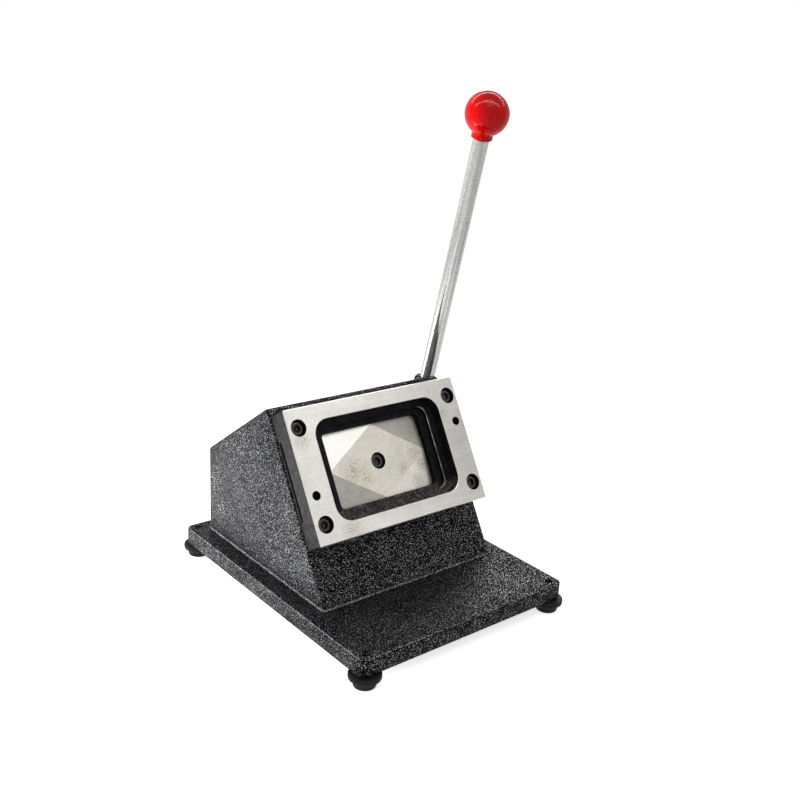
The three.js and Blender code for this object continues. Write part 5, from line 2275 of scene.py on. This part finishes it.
@dataclass
class Studio:
    """A pale floor, a white surround, soft lamps and the photograph's camera."""

    softboxes: tuple[Softbox, ...] = (
        Softbox("rear_left", -136.0, 7.0, 1.0, (0.6, 0.3), 4.0, spread=60.0, shows=False),
        Softbox("overhead", -20.0, 62.0, 1.5, (1.0, 1.0), 7.0),
        Softbox("floor_left", 0.0, 90.0, 0.5, (0.16, 0.34), 1.2, (-0.222, 0.17, 0.0), spread=16.0),
        Softbox("rear_right", 130.0, 30.0, 1.1, (0.6, 0.5), 3.6, (0.07, -0.07, 0.02), lights=False),
        Softbox("near_strip", -44.0, 61.0, 0.17, (0.6, 0.03), 0.6, BALL_CENTRE, lights=False),
        Softbox("far_strip", 136.0, 61.0, 0.17, (0.6, 0.03), 0.6, BALL_CENTRE, lights=False),
    )
    camera_place: Place = (-0.43626, -0.5413, 0.3803)
    right: Place = (0.7755, -0.6294, 0.0499)
    up: Place = (0.1671, 0.2807, 0.9452)
    lens: float = 46.39
    sensor: float = 36.0
    sight: Point = (0.01, 50.0)
    floor_reach: float = 6.0
    floor_grey: float = 0.82
    floor_glow: float = 0.72
    sky_light: float = 0.4

    @staticmethod
    def seen(canvas: Canvas) -> Socket:
        """1 for what the camera sees, directly, in a gloss or through a clear piece.

        Args:
            canvas: The floor's or world's tree.

        Returns:
            1 or 0.
        """
        rays = [canvas.node("ShaderNodeLightPath", output=f"Is {kind} Ray")
                for kind in ("Camera", "Glossy", "Transmission")]
        return (rays[0] + rays[1] + rays[2]).at_most(1.0)

    def floor(self) -> None:
        """Lays the floor, which is white to the camera but keeps a soft shadow."""
        mesh = bpy.data.meshes.new("floor")
        reach = self.floor_reach
        corners = [(-reach, -reach, 0), (reach, -reach, 0), (reach, reach, 0), (-reach, reach, 0)]
        mesh.from_pydata(corners, [], [(0, 1, 2, 3)])
        material = bpy.data.materials.new("pale_floor")
        material.use_nodes = True
        canvas = Canvas(material.node_tree)
        grey = self.floor_grey
        lit = canvas.node("ShaderNodeBsdfDiffuse", {}, {"Color": (grey, grey, grey, 1.0)})
        glow = canvas.node("ShaderNodeEmission", {}, {
            "Color": (1.0, 1.0, 1.0, 1.0), "Strength": self.seen(canvas) * self.floor_glow})
        canvas.node_output(canvas.node("ShaderNodeAddShader", {}, {0: lit, 1: glow}))
        mesh.materials.append(material)
        shown = linked("floor", mesh)

    def surround(self) -> None:
        """Makes the world white to the camera and to glossy surfaces, and softer as a light."""
        world = bpy.data.worlds.new("surround")
        world.use_nodes = True
        canvas = Canvas(world.node_tree)
        background = canvas.node("ShaderNodeBackground", {}, {
            "Color": (1.0, 1.0, 1.0, 1.0),
            "Strength": self.sky_light + self.seen(canvas) * (1 - self.sky_light)})
        output = world.node_tree.nodes.new("ShaderNodeOutputWorld")
        world.node_tree.links.new(background.socket, output.inputs["Surface"])
        bpy.context.scene.world = world

    def camera(self) -> None:
        """Puts the camera where the photograph was taken from."""
        lens = bpy.data.cameras.new("camera")
        lens.lens = self.lens
        lens.sensor_width = self.sensor
        lens.clip_start, lens.clip_end = self.sight
        right, up = Vector(self.right).normalized(), Vector(self.up).normalized()
        back = right.cross(up).normalized()
        up = back.cross(right)
        turn = Matrix((right, up, back)).transposed().to_4x4()
        shown = linked("camera", lens)
        shown.matrix_world = Matrix.Translation(self.camera_place) @ turn
        bpy.context.scene.camera = shown

    def build(self) -> None:
        """Builds the studio."""
        self.floor()
        self.surround()
        for softbox in self.softboxes:
            softbox.light()
        self.camera()
        bpy.context.scene.view_settings.view_transform = "Standard"


def main() -> None:
    """Builds the cutter and the studio."""
    logging.basicConfig(level=logging.INFO, format="%(name)s: %(message)s")
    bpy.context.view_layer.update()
    trees = Trees(FastenerGrid(), HelicalSpring())
    ram = PunchAndRam(trees)
    for assembly in (BaseAndFeet(trees), Housing(), DieStack(trees), ram, ShaftAndCam(), Lever()):
        for piece in assembly.pieces():
            piece.show()
    ram.springs()
    Studio().build()


if __name__ == "__main__":
    main()
